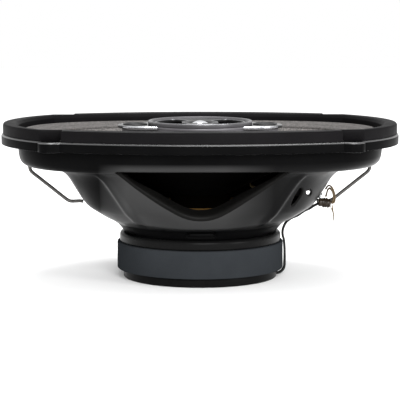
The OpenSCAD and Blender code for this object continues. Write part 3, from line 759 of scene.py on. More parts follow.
def make_basket():
    n = 840
    th = theta(n)
    P = round_path(BASKET, [2.5] * 5 + [1.6, 3, 4, 6, 5, 5, 3, 2.2, 2.2, 1.6, 0.9, 1], 4)
    fine = []
    P = densify(P, 1.15)
    for a, b in zip(P[:-1], P[1:]):
        fine.append(a)
        if -52.4 < b[0] < -46.8 and np.linalg.norm((b - a)[:3]) > 0.55:
            fine.append((a + b) / 2)
    fine.append(P[-1])
    P = np.array(fine)
    X, N = surface(P, th)
    x, y, z = X[..., 0], X[..., 1], X[..., 2]
    R = np.hypot(x, y)
    phi = np.degrees(np.arctan2(np.abs(x), np.abs(y)))
    # pressed ribs beside the windows
    line = np.interp(z, [-46, -38, -15], [39.5, 41.5, 46.8])
    d = np.radians(phi - line) * R
    fade = smooth01((z + 46.5) / 5) * smooth01((-13.2 - z) / 3)
    h = 1.5 * np.exp(-(np.abs(d) / 2.7) ** 2.2) * fade
    # shallow lanced slot in the neck, front and back
    s = x
    slot = smooth01((8.2 - np.abs(s)) / 0.9 + 0.5) * smooth01((1.55 - np.abs(z + 49.8)) / 0.7 + 0.5)
    slot *= (R > 46.4) * (R < 52)
    h -= 1.5 * slot
    X = X + N * h[..., None]
    N = grid_normals(X, th)
    X = X - N * (SHEET / 2)
    x, y, z = X[..., 0], X[..., 1], X[..., 2]
    WIN = [[-50.2, -10.5]] + WINDOW[2:-2] + [[51.2, -10.5]]
    wf = convex_f(rounded_profile(chaikin_open(WIN), [1.4] + [0] * (len(chaikin_open(WIN)) - 2) + [1.4], 5), x, z)
    wf = np.maximum(wf, -(66 - np.abs(x)) * 1.0 - 0)
    F = np.where(z < -8.5, wf, 9.0)
    sf = np.where(y < 0, np.minimum(convex_f(chaikin(SIDE_F, 1), x, z) - 0.05, convex_f(chaikin(SIDE_H, 1), x, z) - 0.35), convex_f(chaikin(SIDE_B, 1), x, z) - 0.9)
    sf = np.where((x > 0) & (z < -9), sf, 9.0)
    F = np.minimum(F, sf)
    which = np.where(sf < wf, 1, 0)
    eps = 0.07
    F = np.where(np.abs(F) < eps, 0.0, F)
    k = len(P)
    V = [tuple(p) for p in X.reshape(-1, 3)]
    NN = [p for p in N.reshape(-1, 3)]
    W = list(which.reshape(-1))
    f = F.reshape(-1)
    cutv = {}
    rim = set(np.nonzero(f == 0)[0].tolist())
    faces = []
    Xf = X.reshape(-1, 3)
    Nf = N.reshape(-1, 3)

    def cut_vertex(a, b):
        key = (a, b) if a < b else (b, a)
        if key not in cutv:
            t = f[a] / (f[a] - f[b])
            cutv[key] = len(V)
            V.append(tuple(Xf[a] + (Xf[b] - Xf[a]) * t))
            NN.append(Nf[a] + (Nf[b] - Nf[a]) * t)
            W.append(W[a])
            rim.add(cutv[key])
        return cutv[key]

    for q in grid_faces(k, n, False, True):
        fq = [f[i] for i in q]
        if min(fq) > 0:
            faces.append(q)
            continue
        if max(fq) <= 0:
            continue
        poly = []
        for i in range(4):
            a, b = q[i], q[(i + 1) % 4]
            if f[a] >= 0:
                poly.append(a)
            if f[a] * f[b] < 0:
                poly.append(cut_vertex(a, b))
        if len(poly) >= 3:
            faces.append(tuple(poly))
    # window edges
    count = {}
    for q in faces:
        for i in range(len(q)):
            e = (q[i], q[(i + 1) % len(q)])
            key = (min(e), max(e))
            count[key] = count.get(key, 0) + 1
    nb = {}
    for (a, b), c in count.items():
        if c == 1 and a in rim and b in rim:
            nb.setdefault(a, []).append(b)
            nb.setdefault(b, []).append(a)
    seen, loops = set(), []
    for st in nb:
        if st in seen:
            continue
        lp, cur, prev = [st], st, None
        seen.add(st)
        while True:
            nx = [q for q in nb[cur] if q != prev and q not in seen]
            if not nx:
                break
            prev, cur = cur, nx[0]
            seen.add(cur)
            lp.append(cur)
        if len(lp) > 12:
            loops.append(lp)
    V = [np.array(p) for p in V]

    def avg(A, w, it=1):
        for _ in range(it):
            B = sum(np.roll(A, s, 0) for s in range(-w, w + 1)) / (2 * w + 1)
            A = B
        return A

    n_sheet = len(faces)
    for lp in loops:
        L = np.array([V[i] for i in lp])
        for _ in range(3):
            L = L * 0.5 + (np.roll(L, 1, 0) + np.roll(L, -1, 0)) * 0.25
        for i, p in zip(lp, L):
            V[i] = p
        Nn = np.array([NN[i] for i in lp])
        Nn = avg(Nn, 4, 2)
        Nn /= np.linalg.norm(Nn, axis=1)[:, None]
        T = avg(np.roll(L, -2, 0) - np.roll(L, 2, 0), 3, 2)
        T /= np.linalg.norm(T, axis=1)[:, None]
        D = np.cross(T, Nn)
        C = L.mean(0)
        sg = np.sign(np.sum(D * (C - L)))
        D = avg(D * sg, 3, 2)
        D /= np.linalg.norm(D, axis=1)[:, None]
        small = W[lp[0]] == 1
        top = smooth01((-D[:, 2] - 0.25) / 0.5)
        up = smooth01((L[:, 2] + 33) / 17)
        if small:
            ln = np.full(len(lp), 0.05)
            fr = np.full(len(lp), 0.25)
            I = -Nn
        else:
            ln = (5.4 - 3.9 * up) * (1 - top) + 0.8 * top
            fr = (2.1 - 1.2 * up) * (1 - top) + 0.8 * top
            I = -Nn * np.array([0.25, 1.0, 1.0])
            I /= np.linalg.norm(I, axis=1)[:, None]
        ln, fr = avg(ln, 6, 3), avg(fr, 6, 3)
        rows = [list(lp)]
        specs = [(a, 0.0) for a in np.radians([15, 30, 45, 60, 75, 90])] + [(PI / 2, t) for t in (0.25, 0.5, 0.75, 1.0)]
        for a, t in specs:
            Q = L + D * (fr * math.sin(a))[:, None] + I * (fr * (1 - math.cos(a)) + ln * t)[:, None]
            o = len(V)
            V.extend(list(Q))
            rows.append(list(range(o, o + len(lp))))
        for r0, r1 in zip(rows[:-1], rows[1:]):
            for i in range(len(lp)):
                j = (i + 1) % len(lp)
                faces.append((r0[i], r0[j], r1[j], r1[i]))
    used = sorted({i for q in faces for i in q})
    mp = {o: i for i, o in enumerate(used)}
    m = Mesh()
    m.add([V[i] for i in used], [tuple(mp[i] for i in q) for q in faces])
    ob = m.obj("basket_sheet", True)
    ob.data.materials.append(MATS["basket"])
    ob.data.materials.append(MATS["lip"])
    # the window lips take the lighter lip copy of the paint, a painted highlight
    mi = np.zeros(len(faces), int)
    mi[n_sheet:] = 1
    ob.data.polygons.foreach_set("material_index", mi)
    md = ob.modifiers.new("sheet", "SOLIDIFY")
    md.thickness = SHEET * MM
    md.offset = 0
    md.use_even_offset = False
    md.use_quality_normals = True
    apply_mods(ob, 38)
    mi = [p.material_index for p in ob.data.polygons]
    piece(ob, "basket", "chassis", ["basket"])
    ob.data.materials.append(MATS["lip"])
    ob.data.polygons.foreach_set("material_index", mi)

    # flange with its turned-down lip and screw ears
    n = 1080
    th = theta(n)
    G = lambda g: flange_r(th, g, True)
    rows = []
    for g, zz in rounded_profile([(0, 0), (0, FL_H), (-3.2, FL_H)], [0, 1.3, 0], 5, False):
        rows.append((G(g), zz))
    rows.append((oval_r(th, TA - 0.6, TB - 0.6, 2.6), FL_H))
    rows.append((oval_r(th, TA - 1.0, TB - 1.0, 2.6), FL_H - 0.3))
    rows.append((oval_r(th, TA - 1.0, TB - 1.0, 2.6), 4.2))
    for g, zz in rounded_profile([(-4.2, 4.2), (-1.8, 4.2), (-1.8, 0)], [0, 1.2, 0], 4, False):
        rows.append((G(g), zz))
    rows[-1] = (G(-1.8), 0.35)
    rows.append((G(-1.55), 0.0))
    rows.append((G(-0.35), 0.0))
    rows[0] = (G(-0.1), 0.06)
    m = Mesh()
    loft(m, rows[1:1] + rows, th, True)
    ob = m.obj("basket_flange", True, 40)
    ob.data.materials.append(MATS["basket"])
    ob.data.materials.append(MATS["edge"])
    # painted highlight: the flange's outer top and bottom roundings take the lighter edge copy of the paint
    mi = []
    for p in ob.data.polygons:
        zc = p.center.z / MM
        out = math.hypot(p.center.x, p.center.y) / MM - float(flange_r(np.array([math.atan2(p.center.y, p.center.x)]), -1.3, True)[0])
        mi.append(1 if out > -0.25 and (zc > 4.75 or zc < 0.35) else 0)
    ob.data.polygons.foreach_set("material_index", mi)
    cs = []
    for sx in (-1, 1):
        for sy in (-1, 1):
            cm = Mesh()
            lathe("c", [(0, -2), (2.4, -2), (2.4, 4.6), (3.1, 7), (0, 7)], 40, True, (sx * SCREW[0], sy * SCREW[1]), mesh=cm)
            cs.append(cm.obj("cutter", False))
    cut(ob, cs, 40)
    mi = [p.material_index for p in ob.data.polygons]
    piece(ob, "basket", "chassis")
    ob.data.materials.append(MATS["edge"])
    ob.data.polygons.foreach_set("material_index", mi)

    # spider landing and the bar of the lanced slot
    m = Mesh()
    th = theta(360)
    loft(m, [(oval_r(th, 61.6, 54.4, 2.1), -40.05), (oval_r(th, 60.6, 53.9, 2.1), -41.25), (oval_r(th, 48.2, 48.2, 2), -41.3),
             (oval_r(th, 47.6, 47.6, 2), -40.8), (oval_r(th, 47.8, 47.8, 2), -40.05), (oval_r(th, 48.4, 48.4, 2), -40.0)], th)
    for sy in (-1, 1):
        rows = []
        sec = rounded_profile([(-0.45, -0.8), (0.45, -0.8), (0.45, 0.8), (-0.45, 0.8)], 0.3, 3)
        steps = np.linspace(-7.1, 7.1, 33)
        base = len(m.v)
        V2 = []
        for sx in steps:
            e = math.sqrt(max(0.04, 1 - (max(0, abs(sx) - 6.3) / 0.8) ** 2))
            for u, v in sec:
                rr = 48.35 + u * e
                a = sx / 48.4
                V2.append((rr * math.sin(a), sy * rr * math.cos(a), -49.8 + v * e))
        F2 = grid_faces(len(steps), len(sec), False, True)
        F2.append(tuple(range(len(sec))))
        F2.append(tuple((len(steps) - 1) * len(sec) + j for j in range(len(sec) - 1, -1, -1)))
        m.add(V2, F2)
    piece(m.obj("basket_landing", True, 40), "basket", "chassis")


make_basket()

# tab lanced inwards behind the front terminal slot; it also closes the view through the slot so it reads dark, a sheet
# standing in for shade
co = np.array([v.co for v in bpy.data.objects["basket_sheet"].data.vertices]) / MM
q = co[(co[:, 0] > 51) & (co[:, 0] < 65) & (co[:, 2] > -32) & (co[:, 2] < -16) & (co[:, 1] < -5)]
kf = np.linalg.lstsq(np.column_stack([np.ones(len(q)), q[:, 0], q[:, 2], q[:, 0] ** 2, q[:, 0] * q[:, 2], q[:, 2] ** 2]), q[:, 1], rcond=None)[0]
gx = np.linspace(55.2, 60.7, 10)
V2 = []
for zz in np.linspace(-28.2, -20.0, 14):
    lift = 0.5 + 1.7 * float(smooth01((-20.0 - zz) / 3.0))
    row = [(xx, float(kf @ np.array([1, xx, zz, xx * xx, xx * zz, zz * zz])) + lift) for xx in gx]
    V2 += [(xx, yy, zz) for xx, yy in row] + [(xx, yy + 0.8, zz) for xx, yy in row[::-1]]
F2 = grid_faces(14, 20, False, True) + [tuple(range(20)), tuple(13 * 20 + j for j in range(19, -1, -1))]
m = Mesh()
m.add(V2, F2)
piece(m.obj("slot_shade_tab", True, 40), "basket", "chassis")

# ---- foam gasket under the flange
th = theta(540)
m = Mesh()
loft(m, [(flange_r(th, -2.45), 0.5), (flange_r(th, -2.9), 0.02), (oval_r(th, 109.6, 72.9, 2.6), 0.02), (oval_r(th, 109.2, 72.5, 2.6), 0.5),
         (oval_r(th, 109.2, 72.5, 2.6), 4.1), (flange_r(th, -2.45), 4.1)], th)
ob = m.obj("gasket_foam_ring", True, 50)
cs = []
for sx in (-1, 1):
    for sy in (-1, 1):
        cm = Mesh()
        lathe("c", [(0, -2), (7, -2), (7, 7), (0, 7)], 48, True, (sx * SCREW[0], sy * SCREW[1]), mesh=cm)
        cs.append(cm.obj("cutter", False))
cut(ob, cs, 40)
piece(ob, "foam", "chassis", ["panel_gasket"])

# ---- moulded trim ring
th = theta(1440)
T = lambda g: trim_outer_r(th) + g
O = lambda g: opening_r(th) + g
rows = []
for g, z in rounded_profile([(0, 5.8), (0, 11.2), (-0.62, TRIM_Z), (-4, TRIM_Z)], [0, 0.5, 0.6, 0], 4, False):
    rows.append((T(g), z))
rows[0] = (T(-0.15), 5.82)
rows.insert(1, (T(0.0), 6.0))
rows[-1] = (T(-2.2), TRIM_Z)
rows.append((O(2.6), TRIM_Z))
for g, z in rounded_profile([(2.4, TRIM_Z), (1.2, 11.7), (0, 10.2), (0, 6.55), (1.5, 6.55)], [0.4, 1.2, 1.0, 0.2, 0], 4, False):
    rows.append((O(g), z))
reb = np.maximum(oval_r(th, 113.1, 73.7, 2.6), opening_r(th) + 1.6)
reb = np.minimum(reb, trim_outer_r(th) - 1.0)
rows.append((reb, 6.55))
rows.append((reb, 5.82))
m = Mesh()
loft(m, rows, th)
piece(m.obj("trim_moulding", True, 32), "trim", "chassis", ["trim_ring"])

# ---- pleated surround
SUR = [[5.85, 112.7, 73.2, 2.6], [5.85, 108.3, 67.6, 2.6], [6.8, 106.9, 66.2, 2.6], [7.5, 105.1, 64.4, 2.55],
       [6.7, 103.3, 62.6, 2.55], [5.6, 101.5, 61, 2.5], [6.6, 99.7, 59.4, 2.5], [7.4, 97.9, 57.6, 2.45],
       [6.6, 96.1, 55.8, 2.4], [5.5, 94.3, 54.2, 2.4], [5.35, 92.9, 52.9, 2.35], [5.8, 92.1, 52.1, 2.35], [5.75, 91.1, 51.6, 2.35], [4.76, 89.2, 50.8, 2.34]]
th = theta(720)
P = round_path(SUR, 1.2, 3)
ob = shell("surround_cloth_ring", P, th, -0.0)
bpy.data.objects.remove(ob)
X, N = surface(P, th)
up = X.copy()
up[..., 2] += 0.6
m = Mesh()
m.add(np.vstack([X.reshape(-1, 3), up[::-1].reshape(-1, 3)]), grid_faces(2 * len(P), len(th), True, True))
ob = m.obj("surround_cloth_ring", True, 60)
give(ob, "roll")
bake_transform(ob)
a = np.array([p[1] for p in P])
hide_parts("surround")

# ---- cone
CONE = [[5, 92, 52, 2.35], [-4, 74.5, 44.5, 2.3], [-13, 55.5, 36, 2.2], [-21, 37.5, 28, 2.1], [-27, 25.5, 22.2, 2.05], [-30.5, 18.3, 18.3, 2]]
P = densify(round_path(CONE, 5, 5), 1.5)
th = theta(480)
X, N = surface(P, th)
m = Mesh()
Y = X - N * 0.9
Y[-1, :, 0], Y[-1, :, 1] = 18.0 * np.cos(th), 18.0 * np.sin(th)
m.add(np.vstack([X.reshape(-1, 3), Y[::-1].reshape(-1, 3)]), grid_faces(2 * len(P), len(th), True, True))
ob = piece(m.obj("cone_body", True, 50), "cone", "cone_assembly", ["woofer_cone"])
# back faces take the near-black material, partly painted shade
ob.data.materials.append(MATS["cone_back"])
half = (len(P) - 1) * len(th)
for pl in ob.data.polygons:
    if pl.index < half:
        pl.material_index = 1

# ---- voice coil
m = Mesh()
lathe("f", rounded_profile([(17.5, -62.8), (17.9, -62.8), (17.9, -28.4), (17.5, -28.4)], 0.1, 2), 160, mesh=m)
piece(m.obj("former_tube", True, 40), "film", "cone_assembly", ["voice_coil_former"])
prof = [(17.92, -62.4)]
zz = -62.4
while zz < -50.5:
    for k in range(5):
        a = -PI / 2 + PI * k / 4
        prof.append((18.45 + 0.22 * math.cos(a), zz + 0.2 + 0.2 * math.sin(a)))
    zz += 0.4
prof.append((17.92, zz))
m = Mesh()
lathe("w", prof, 96, mesh=m)
piece(m.obj("winding_turns", True, 50), "copper", "cone_assembly", ["voice_coil_winding"])

# ---- spider
rr = np.concatenate([np.linspace(22, 47, 101)])
zc = -39.7 + 0.8 * np.sin(np.radians((rr - 22) * 72))
mid = [(17.95, -38.4), (18.6, -38.9), (19.6, -39.5), (20.8, -39.7)] + list(zip(rr, zc)) + [(47.8, -39.75), (50, -39.72), (53.3, -39.72)]
mid = np.array(mid)
m = Mesh()
lathe("s", [(r, z + 0.23) for r, z in mid] + [(r, z - 0.23) for r, z in mid[::-1]], 200, mesh=m)
ob = m.obj("spider_disc", True, 60)
give(ob, "spider")
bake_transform(ob)
co = np.array([v.co for v in ob.data.vertices]) / MM
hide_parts("spider")

# ---- tinsel leads: three twisted strands each
TINSEL = [[30, 5.5, -25.8], [33, 6, -28], [39, 6.8, -31.4], [46, 7.2, -33.2], [53, 7, -32.6], [59, 6.2, -30.4], [63.4, 5.4, -28.9], [65.6, 5.1, -28.5]]
for nm, s in (("neg", 1), ("pos", -1)):
    C = spline([(p[0], s * p[1], p[2]) for p in TINSEL], 14)
    Tt, U, Wv = frames(C)
    L = np.concatenate([[0], np.cumsum(np.linalg.norm(np.diff(C, axis=0), axis=1))])
    m = Mesh()
    for k in range(3):
        ph = L / 2.6 * 2 * PI + 2 * PI * k / 3
        tube(m, C + 0.27 * (np.cos(ph)[:, None] * U + np.sin(ph)[:, None] * Wv), 0.3, 8)
    ob = m.obj("tinsel_strands_" + nm, True)
    give(ob, "tinsel")
    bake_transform(ob)
    co = np.array([v.co for v in ob.data.vertices]) / MM
    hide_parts("tinsel_lead_" + nm)

# ---- motor
m = Mesh()
lathe("t", rounded_profile([(19.4, -59.28), (48.5, -59.28), (48.5, -53.5), (19.4, -53.5)], [0.3, 0.9, 1.9, 0.5], 6), 256, mesh=m)
piece(m.obj("front_plate", True, 40), "plate", "chassis", ["top_plate"])
m = Mesh()
lathe("g", rounded_profile([(25, -75.68), (50, -75.68), (50, -59.32), (25, -59.32)], [0.5, 0.7, 0.7, 0.5], 3), 256, mesh=m)
piece(m.obj("ferrite_ring", True, 35), "ferrite", "chassis", ["ferrite_magnet"])
m = Mesh()
lathe("y", rounded_profile([(4.5, -81.2), (46.4, -81.2), (46.4, -75.7), (17, -75.7), (17, -52.5), (4.5, -52.5)], [0.3, 1.0, 1.0, 0.6, 0.8, 0.3], 5), 192, mesh=m)
ob = m.obj("back_plate_pole", True, 40)
cm = Mesh()
lathe("c", [(0, -82), (9, -82), (9, -74), (0, -74)], 64, mesh=cm)
c1 = cm.obj("cutter", False)
cm = Mesh()
plate(cm, [(6, -3), (60, -3), (60, 3), (6, 3)], [], -83, -78.4, 0.3, 0.3)
c2 = cm.obj("cutter", False)
cut(ob, [c1, c2], 40)
piece(ob, "plate", "chassis", ["yoke"])
m = Mesh()
for k in range(4):
    a = PI / 4 + PI / 2 * k
    lathe("r", rounded_profile([(0, -58.8), (2.0, -58.8), (2.0, -52.1), (3.1, -52.1), (3.1, -51.2), (0, -50.75)], [0, 0.2, 0, 0.2, 0.6, 0], 4), 40, True,
          (34 * math.cos(a), 34 * math.sin(a)), mesh=m)
piece(m.obj("rivet_heads", True, 40), "zinc", "chassis", ["basket_rivets"])

# ---- pod
def stadium_r(th, L, W):
    c, s = np.abs(np.cos(th)), np.abs(np.sin(th))
    t = np.arctan2(s, c)
    R, cx = W / 2, L / 2 - W / 2
    flat = R / np.maximum(s, 1e-9)
    arc = ray_circle(t, cx, 0, R)
    return np.where(flat * c <= cx, flat, arc)


def wing_r(th, g=0.0, L=94, W=31, R=30.5):
    return np.maximum(stadium_r(th, L + 2 * g, W + 2 * g), R + g)


def turned(name, prof, mat, body="chassis", nodes=(), seg=128, center=(0, 0), sharp=38):
    m = Mesh()
    lathe("l", prof, seg, True, center, mesh=m)
    return piece(m.obj(name, True, sharp), mat, body, nodes)


turned("post_turned", rounded_profile([(2.0, -77.3), (4.42, -77.3), (4.42, -52.5), (9, -52.5), (9, -50.9), (4.8, -49.9), (4.8, -17),
       (7, -15.6), (7, -14), (2.98, -14), (2.98, -1), (2.0, -1)], [0.2, 0.3, 0, 0.3, 0.5, 0.6, 0.6, 0.3, 0.2, 0, 0.3, 0.2], 3), "satin", "chassis", ["tweeter_post"], 72)
for nm, r, z0, z1, hole in (("post_nut", 7.2, -76.8, -74, 4.5), ("post_top_nut", 5.0, -3, -1.2, 3.05)):
    m = Mesh()
    hexo = rounded_profile([(r * math.cos(PI / 3 * k), r * math.sin(PI / 3 * k)) for k in range(6)], 0.5, 3)
    plate(m, hexo, [circle_pts(hole, 40)], z0 + 0.02, z1 - 0.02, 0.35, 0.35, 3)
    piece(m.obj(nm + "_hex", True, 40), "zinc", "chassis", [nm])

# housing: bowl with two wings, open at the top under the cover
th = theta(720)
rows = []
for r, z in rounded_profile([(3.1, -14), (20, -14), (20, -6.5), (29.5, -2.5), (30.5, 1.0)], [0, 1.4, 2.2, 1.6, 0], 4, False):
    rows.append((np.full(len(th), r), z))
rows.append((np.full(len(th), 30.5), 1.9))
for g, z in rounded_profile([(-2.5, 2.0), (0, 2.0), (0, 8.9)], [0, 0.9, 0], 4, False):
    rows.append((np.maximum(wing_r(th, g), 30.5), z))
rows[-1] = (wing_r(th, 0), 8.86)
rows.append((wing_r(th, -1.7), 8.86))
rows.append((wing_r(th, -1.8), 4.0))
rows.append((np.maximum(np.minimum(wing_r(th, -2.2), 28.7), 28.7), 3.8))
for r, z in ((28.7, 1.0), (27.8, -1.6), (18.6, -5.6), (18.4, -12.4), (3.1, -12.4)):
    rows.append((np.full(len(th), r), z))
m = Mesh()
loft(m, rows, th, True)
# the housing takes the mid-grey pod paint, a painted reflection
piece(m.obj("pod_shell", True, 40), "pod", "chassis", ["pod_housing"])

cov = outline(lambda t: wing_r(t, 0, 99, 36, 31), 900, 1.2)
m = Mesh()
plate(m, cov, [circle_pts(27.9, 240), circle_pts(6, 80, 39), circle_pts(6, 80, -39)], 8.9, 10.58, 0.75, 0.25, 6, 0.25)
ob = piece(m.obj("pod_deck", True, 40), "gloss", "chassis", ["pod_cover"])
# painted reflection: the deck's side faces between the wings take the grey pod paint
ob.data.materials.append(MATS["pod"])
for p in ob.data.polygons:
    if abs(p.normal.z) < 0.75 and abs(p.center.x) < 0.0262 and math.hypot(p.center.x, p.center.y) > 0.029:
        p.material_index = 1
# painted reflection: bright silver strips along the wing edges, front and back, standing in for the reflection bars on
# the wing fronts
m = Mesh()
for sx in (-1, 1):
    for sy in (-1, 1):
        path = [(25.6, 18.0), (28.5, 18.0), (31.5, 18.0)]
        for a in np.radians(np.linspace(4, 54, 14)):
            path.append((31.5 + 18.0 * math.sin(a), 18.0 * math.cos(a)))
        path = np.array(path)
        d = np.gradient(path, axis=0)
        d /= np.linalg.norm(d, axis=1)[:, None]
        nrm = np.stack([-d[:, 1], d[:, 0]], 1)
        sec = rounded_profile([(-0.5, -1.15), (0.14, -1.15), (0.14, 0.8), (-0.5, 0.8)], [0, 0.22, 0.22, 0], 3)
        V2 = []
        for i, (p, q) in enumerate(zip(path, nrm)):
            e = min(1.0, 0.25 + (len(path) - 1 - i) * 0.16)
            for u, v in sec:
                k = p + q * u
                V2.append((sx * k[0], sy * k[1], 9.72 + v * e))
        F2 = grid_faces(len(path), len(sec), False, True)
        F2.append(tuple(range(len(sec))))
        F2.append(tuple((len(path) - 1) * len(sec) + j for j in range(len(sec) - 1, -1, -1)))
        m.add(V2, F2)
piece(m.obj("wing_reflection_strips", True, 40), "silver", "chassis")

turned("bezel_ring", rounded_profile([(29, 10.6), (31.3, 10.6), (31.3, 12.3), (30.7, 12.98), (29.6, 12.98), (29, 12.0)], [0.1, 0.2, 0.5, 0.35, 0.35, 0.4], 4), "bezel_dark", "chassis", ["pod_bezel"], 240)
turned("bezel_bead", [(30.65 + 0.36 * math.cos(a), 12.66 + 0.34 * math.sin(a)) for a in theta(14)], "bezel", "chassis", (), 240)

# grille: flared centre and two ports
gr = circle_pts(28.85, 300)


def kidney(sx, r0=11.0, r1=26.4, half=58, n=60):
    P = []
    for a in np.radians(np.linspace(-half, half, n)):
        P.append((r1 * math.cos(a), r1 * math.sin(a)))
    for a in np.radians(np.linspace(half, -half, n)):
        P.append((r0 * math.cos(a), r0 * math.sin(a)))
    P = rounded_profile(P, [0] * (n - 1) + [2.2, 2.2] + [0] * (n - 2) + [2.2] + [], 6) if False else P
    Q = np.array(P)
    for _ in range(6):
        Q = Q * 0.5 + (np.roll(Q, 1, 0) + np.roll(Q, -1, 0)) * 0.25
    Q = resample(Q, 200)
    for _ in range(12):
        Q = Q * 0.5 + (np.roll(Q, 1, 0) + np.roll(Q, -1, 0)) * 0.25
    Q[:, 0] *= sx
    return Q


m = Mesh()
plate(m, gr, [circle_pts(8.5, 90), kidney(1), kidney(-1)], 10.62, 11.8, 0.3, 0.2, 4, 0.3)
piece(m.obj("grille_plate", True, 40), "satin", "chassis", ["pod_grille"])
m = Mesh()
lathe("h", rounded_profile([(6.5, 10.62), (8.6, 10.62), (8.6, 11.86), (8.3, 11.86), (6.9, 10.95)], [0.1, 0, 0.2, 0.2, 0.6], 4), 96, mesh=m)
piece(m.obj("grille_flare", True, 40), "satin", "chassis")
m = Mesh()
for sx in (1, -1):
    K = kidney(sx, 10.7, 26.7)
    K3 = np.column_stack([K, np.full(len(K), 11.82)])
    N2 = outline_normals(K if sx > 0 else K[::-1])
    if sx < 0:
        N2 = N2[::-1]
    V2 = []
    for p, q in zip(K3, N2):
        for a in theta(8):
            V2.append((p[0] + 0.3 * math.cos(a) * q[0], p[1] + 0.3 * math.cos(a) * q[1], p[2] + 0.22 * math.sin(a)))
    m.add(V2, grid_faces(len(K), 8, True, True))
piece(m.obj("grille_rims", True, 50), "bezel", "chassis")

# midrange drive
turned("mid_pole", rounded_profile([(0, -12.18), (17, -12.18), (17, -10.2), (5.6, -10.2), (5.6, -3), (0, -3)], [0, 0.3, 0.3, 0, 0.4, 0], 3), "midmetal", "chassis", ["mid_yoke"], 96)
turned("mid_ferrite", rounded_profile([(9.5, -10.18), (17, -10.18), (17, -5.22), (9.5, -5.22)], 0.3, 3), "ferrite", "chassis", ["mid_magnet"], 96)
turned("mid_plate", rounded_profile([(7.6, -5.2), (17, -5.2), (17, -3.02), (7.6, -3.02)], 0.3, 3), "midmetal", "chassis", ["mid_top_plate"], 96)
turned("mid_basket", rounded_profile([(12, -3), (17.6, -3), (18.6, -2.4), (27, 4.2), (27, 5.4), (28.5, 5.4), (28.5, 6.4), (26.4, 6.4), (26.2, 4.8), (18, -1.8), (12, -1.8)], 0.35, 3), "satin", "chassis", ["mid_frame"], 120)
turned("mid_cone_body", rounded_profile([(6.7, -1.6), (7.3, -1.6), (15, 1.6), (23.4, 5.9), (24, 5.9), (24, 6.38), (23.2, 6.38), (14.8, 2.2), (6.7, -1)], [0.1, 0.3, 3, 1, 0.1, 0.1, 1, 3, 0.2], 5), "pulp", "mid_assembly", ["mid_cone"], 144)
prof = [(6.42, -7.95)]
z = -7.95
while z < -1.2:
    for k in range(4):
        a = -PI / 2 + PI * k / 3
        prof.append((6.95 + 0.14 * math.cos(a), z + 0.14 + 0.14 * math.sin(a)))
    z += 0.28
prof.append((6.42, z))
turned("mid_coil_turns", prof, "copper", "mid_assembly", ["mid_voice_coil"], 72)
m = Mesh()
arc = [(26.2 + 2.1 * math.cos(a), 6.35 + 1.3 * math.sin(a)) for a in np.linspace(PI, 0, 17)]
up = [(24.05, 6.55)] + arc + [(28.35, 6.5)]
prof = [(r, zz + 0.13) for r, zz in up] + [(r, zz - 0.12) for r, zz in up[::-1]]
lathe("s", prof, 144, mesh=m)
ob = m.obj("mid_surround_roll", True, 60)
give(ob, "cloth")
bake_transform(ob)
co = np.array([v.co for v in ob.data.vertices]) / MM
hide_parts("mid_surround")


def dome(name, r, z0, h, skirt, cx, body, node, t=0.25):
    pts = []
    R = (r * r + h * h) / (2 * h)
    for k in range(15):
        a = math.asin(r / R) * k / 14
        pts.append((R * math.sin(a), z0 + h - R + R * math.cos(a)))
    # small roll between the dome and its mounting skirt
    e = skirt - r
    for k in range(1, 9):
        a = PI * k / 8
        pts.append((r + e * 0.5 - e * 0.42 * math.cos(a), z0 - 0.12 + 0.32 * math.sin(a)))
    pts.append((skirt, z0 - 0.1))
    prof = pts + [(q, zz - t) for q, zz in pts[::-1]]
    return turned(name, prof, "silver", body, [node], 96, (cx, 0), 60)


turned("tweeter_cup", rounded_profile([(0, 4.4), (8.2, 4.4), (8.2, 10.6), (7.6, 10.6), (7.6, 5.2), (0, 5.2)], [0, 0.3, 0.2, 0.2, 0.2, 0], 3), "satin", "chassis", ["center_tweeter_cup"], 96)
turned("tweeter_slug", rounded_profile([(0, 5.22), (7.36, 5.22), (7.36, 8.9), (0, 8.9)], [0, 0.3, 0.5, 0], 3), "midmetal", "chassis", ["center_tweeter_magnet"], 96)
dome("center_dome_foil", 6.0, 10.15, 2.7, 7.3, 0, "center_dome_body", "center_dome")
for nm, sx in (("left", -1), ("right", 1)):
    cx = 39 * sx
    turned("wing_rim_" + nm, rounded_profile([(5.3, 8.9), (7.3, 10.62), (7.3, 10.95), (6.7, 11.38), (6.2, 11.38), (5.3, 10.4)], [0.1, 0.1, 0.3, 0.3, 0.3, 0.5], 3), "satin", "chassis", ["wing_tweeter_rim_" + nm], 96, (cx, 0))
    turned("wing_slug_" + nm, rounded_profile([(0, 3.6), (6.2, 3.6), (6.2, 8), (0, 8)], [0, 0.3, 0.5, 0], 3), "midmetal", "chassis", ["wing_tweeter_magnet_" + nm], 64, (cx, 0))
    dome("wing_dome_foil_" + nm, 4.9, 9.1, 1.5, 6.2, cx, "wing_dome_" + nm + "_body", "wing_dome_" + nm)

# ---- wires
BRACE = [[102.9, 0, -12.6], [102.7, 0, -15], [101.6, 0, -18], [96, 0, -22.6], [87, 0, -29.8],
         [80.4, 0, -35], [78, 0, -36], [75, 0, -36], [72.4, 0, -35.9], [70.6, 0, -36.2]]
for nm, sx in (("left", -1), ("right", 1)):
    C = spline([(sx * p[0], 1.8, p[2]) for p in BRACE], 8)
    m = Mesh()
    tube(m, C, 1.07, 20)
    piece(m.obj("brace_rod_" + nm, True, 50), "brace", "chassis", ["brace_wire_" + nm])
LEAD = [[66.2, 0, -40.6], [63, 0, -42], [59.2, 0, -44.6], [55.2, 0, -46.4], [52, 0, -49], [50.2, 0, -53], [50, 0, -56.4],
        [50.8, 0, -59.5], [51.2, 0, -64], [51.3, 0, -69], [51.2, 0, -75], [50.2, 0, -77.8], [48, 0, -79.5],
        [44, 0, -79.9], [38, 0, -80], [26, 0, -80], [14, 0, -80], [6, 0, -80], [2.4, 0, -79.8], [0.6, 0, -78.6],
        [0, 0, -76.6], [0, 0, -70], [0, 0, -56], [0, 0, -40], [0, 0, -24], [0, 0, -13], [0, 0, -3.5]]
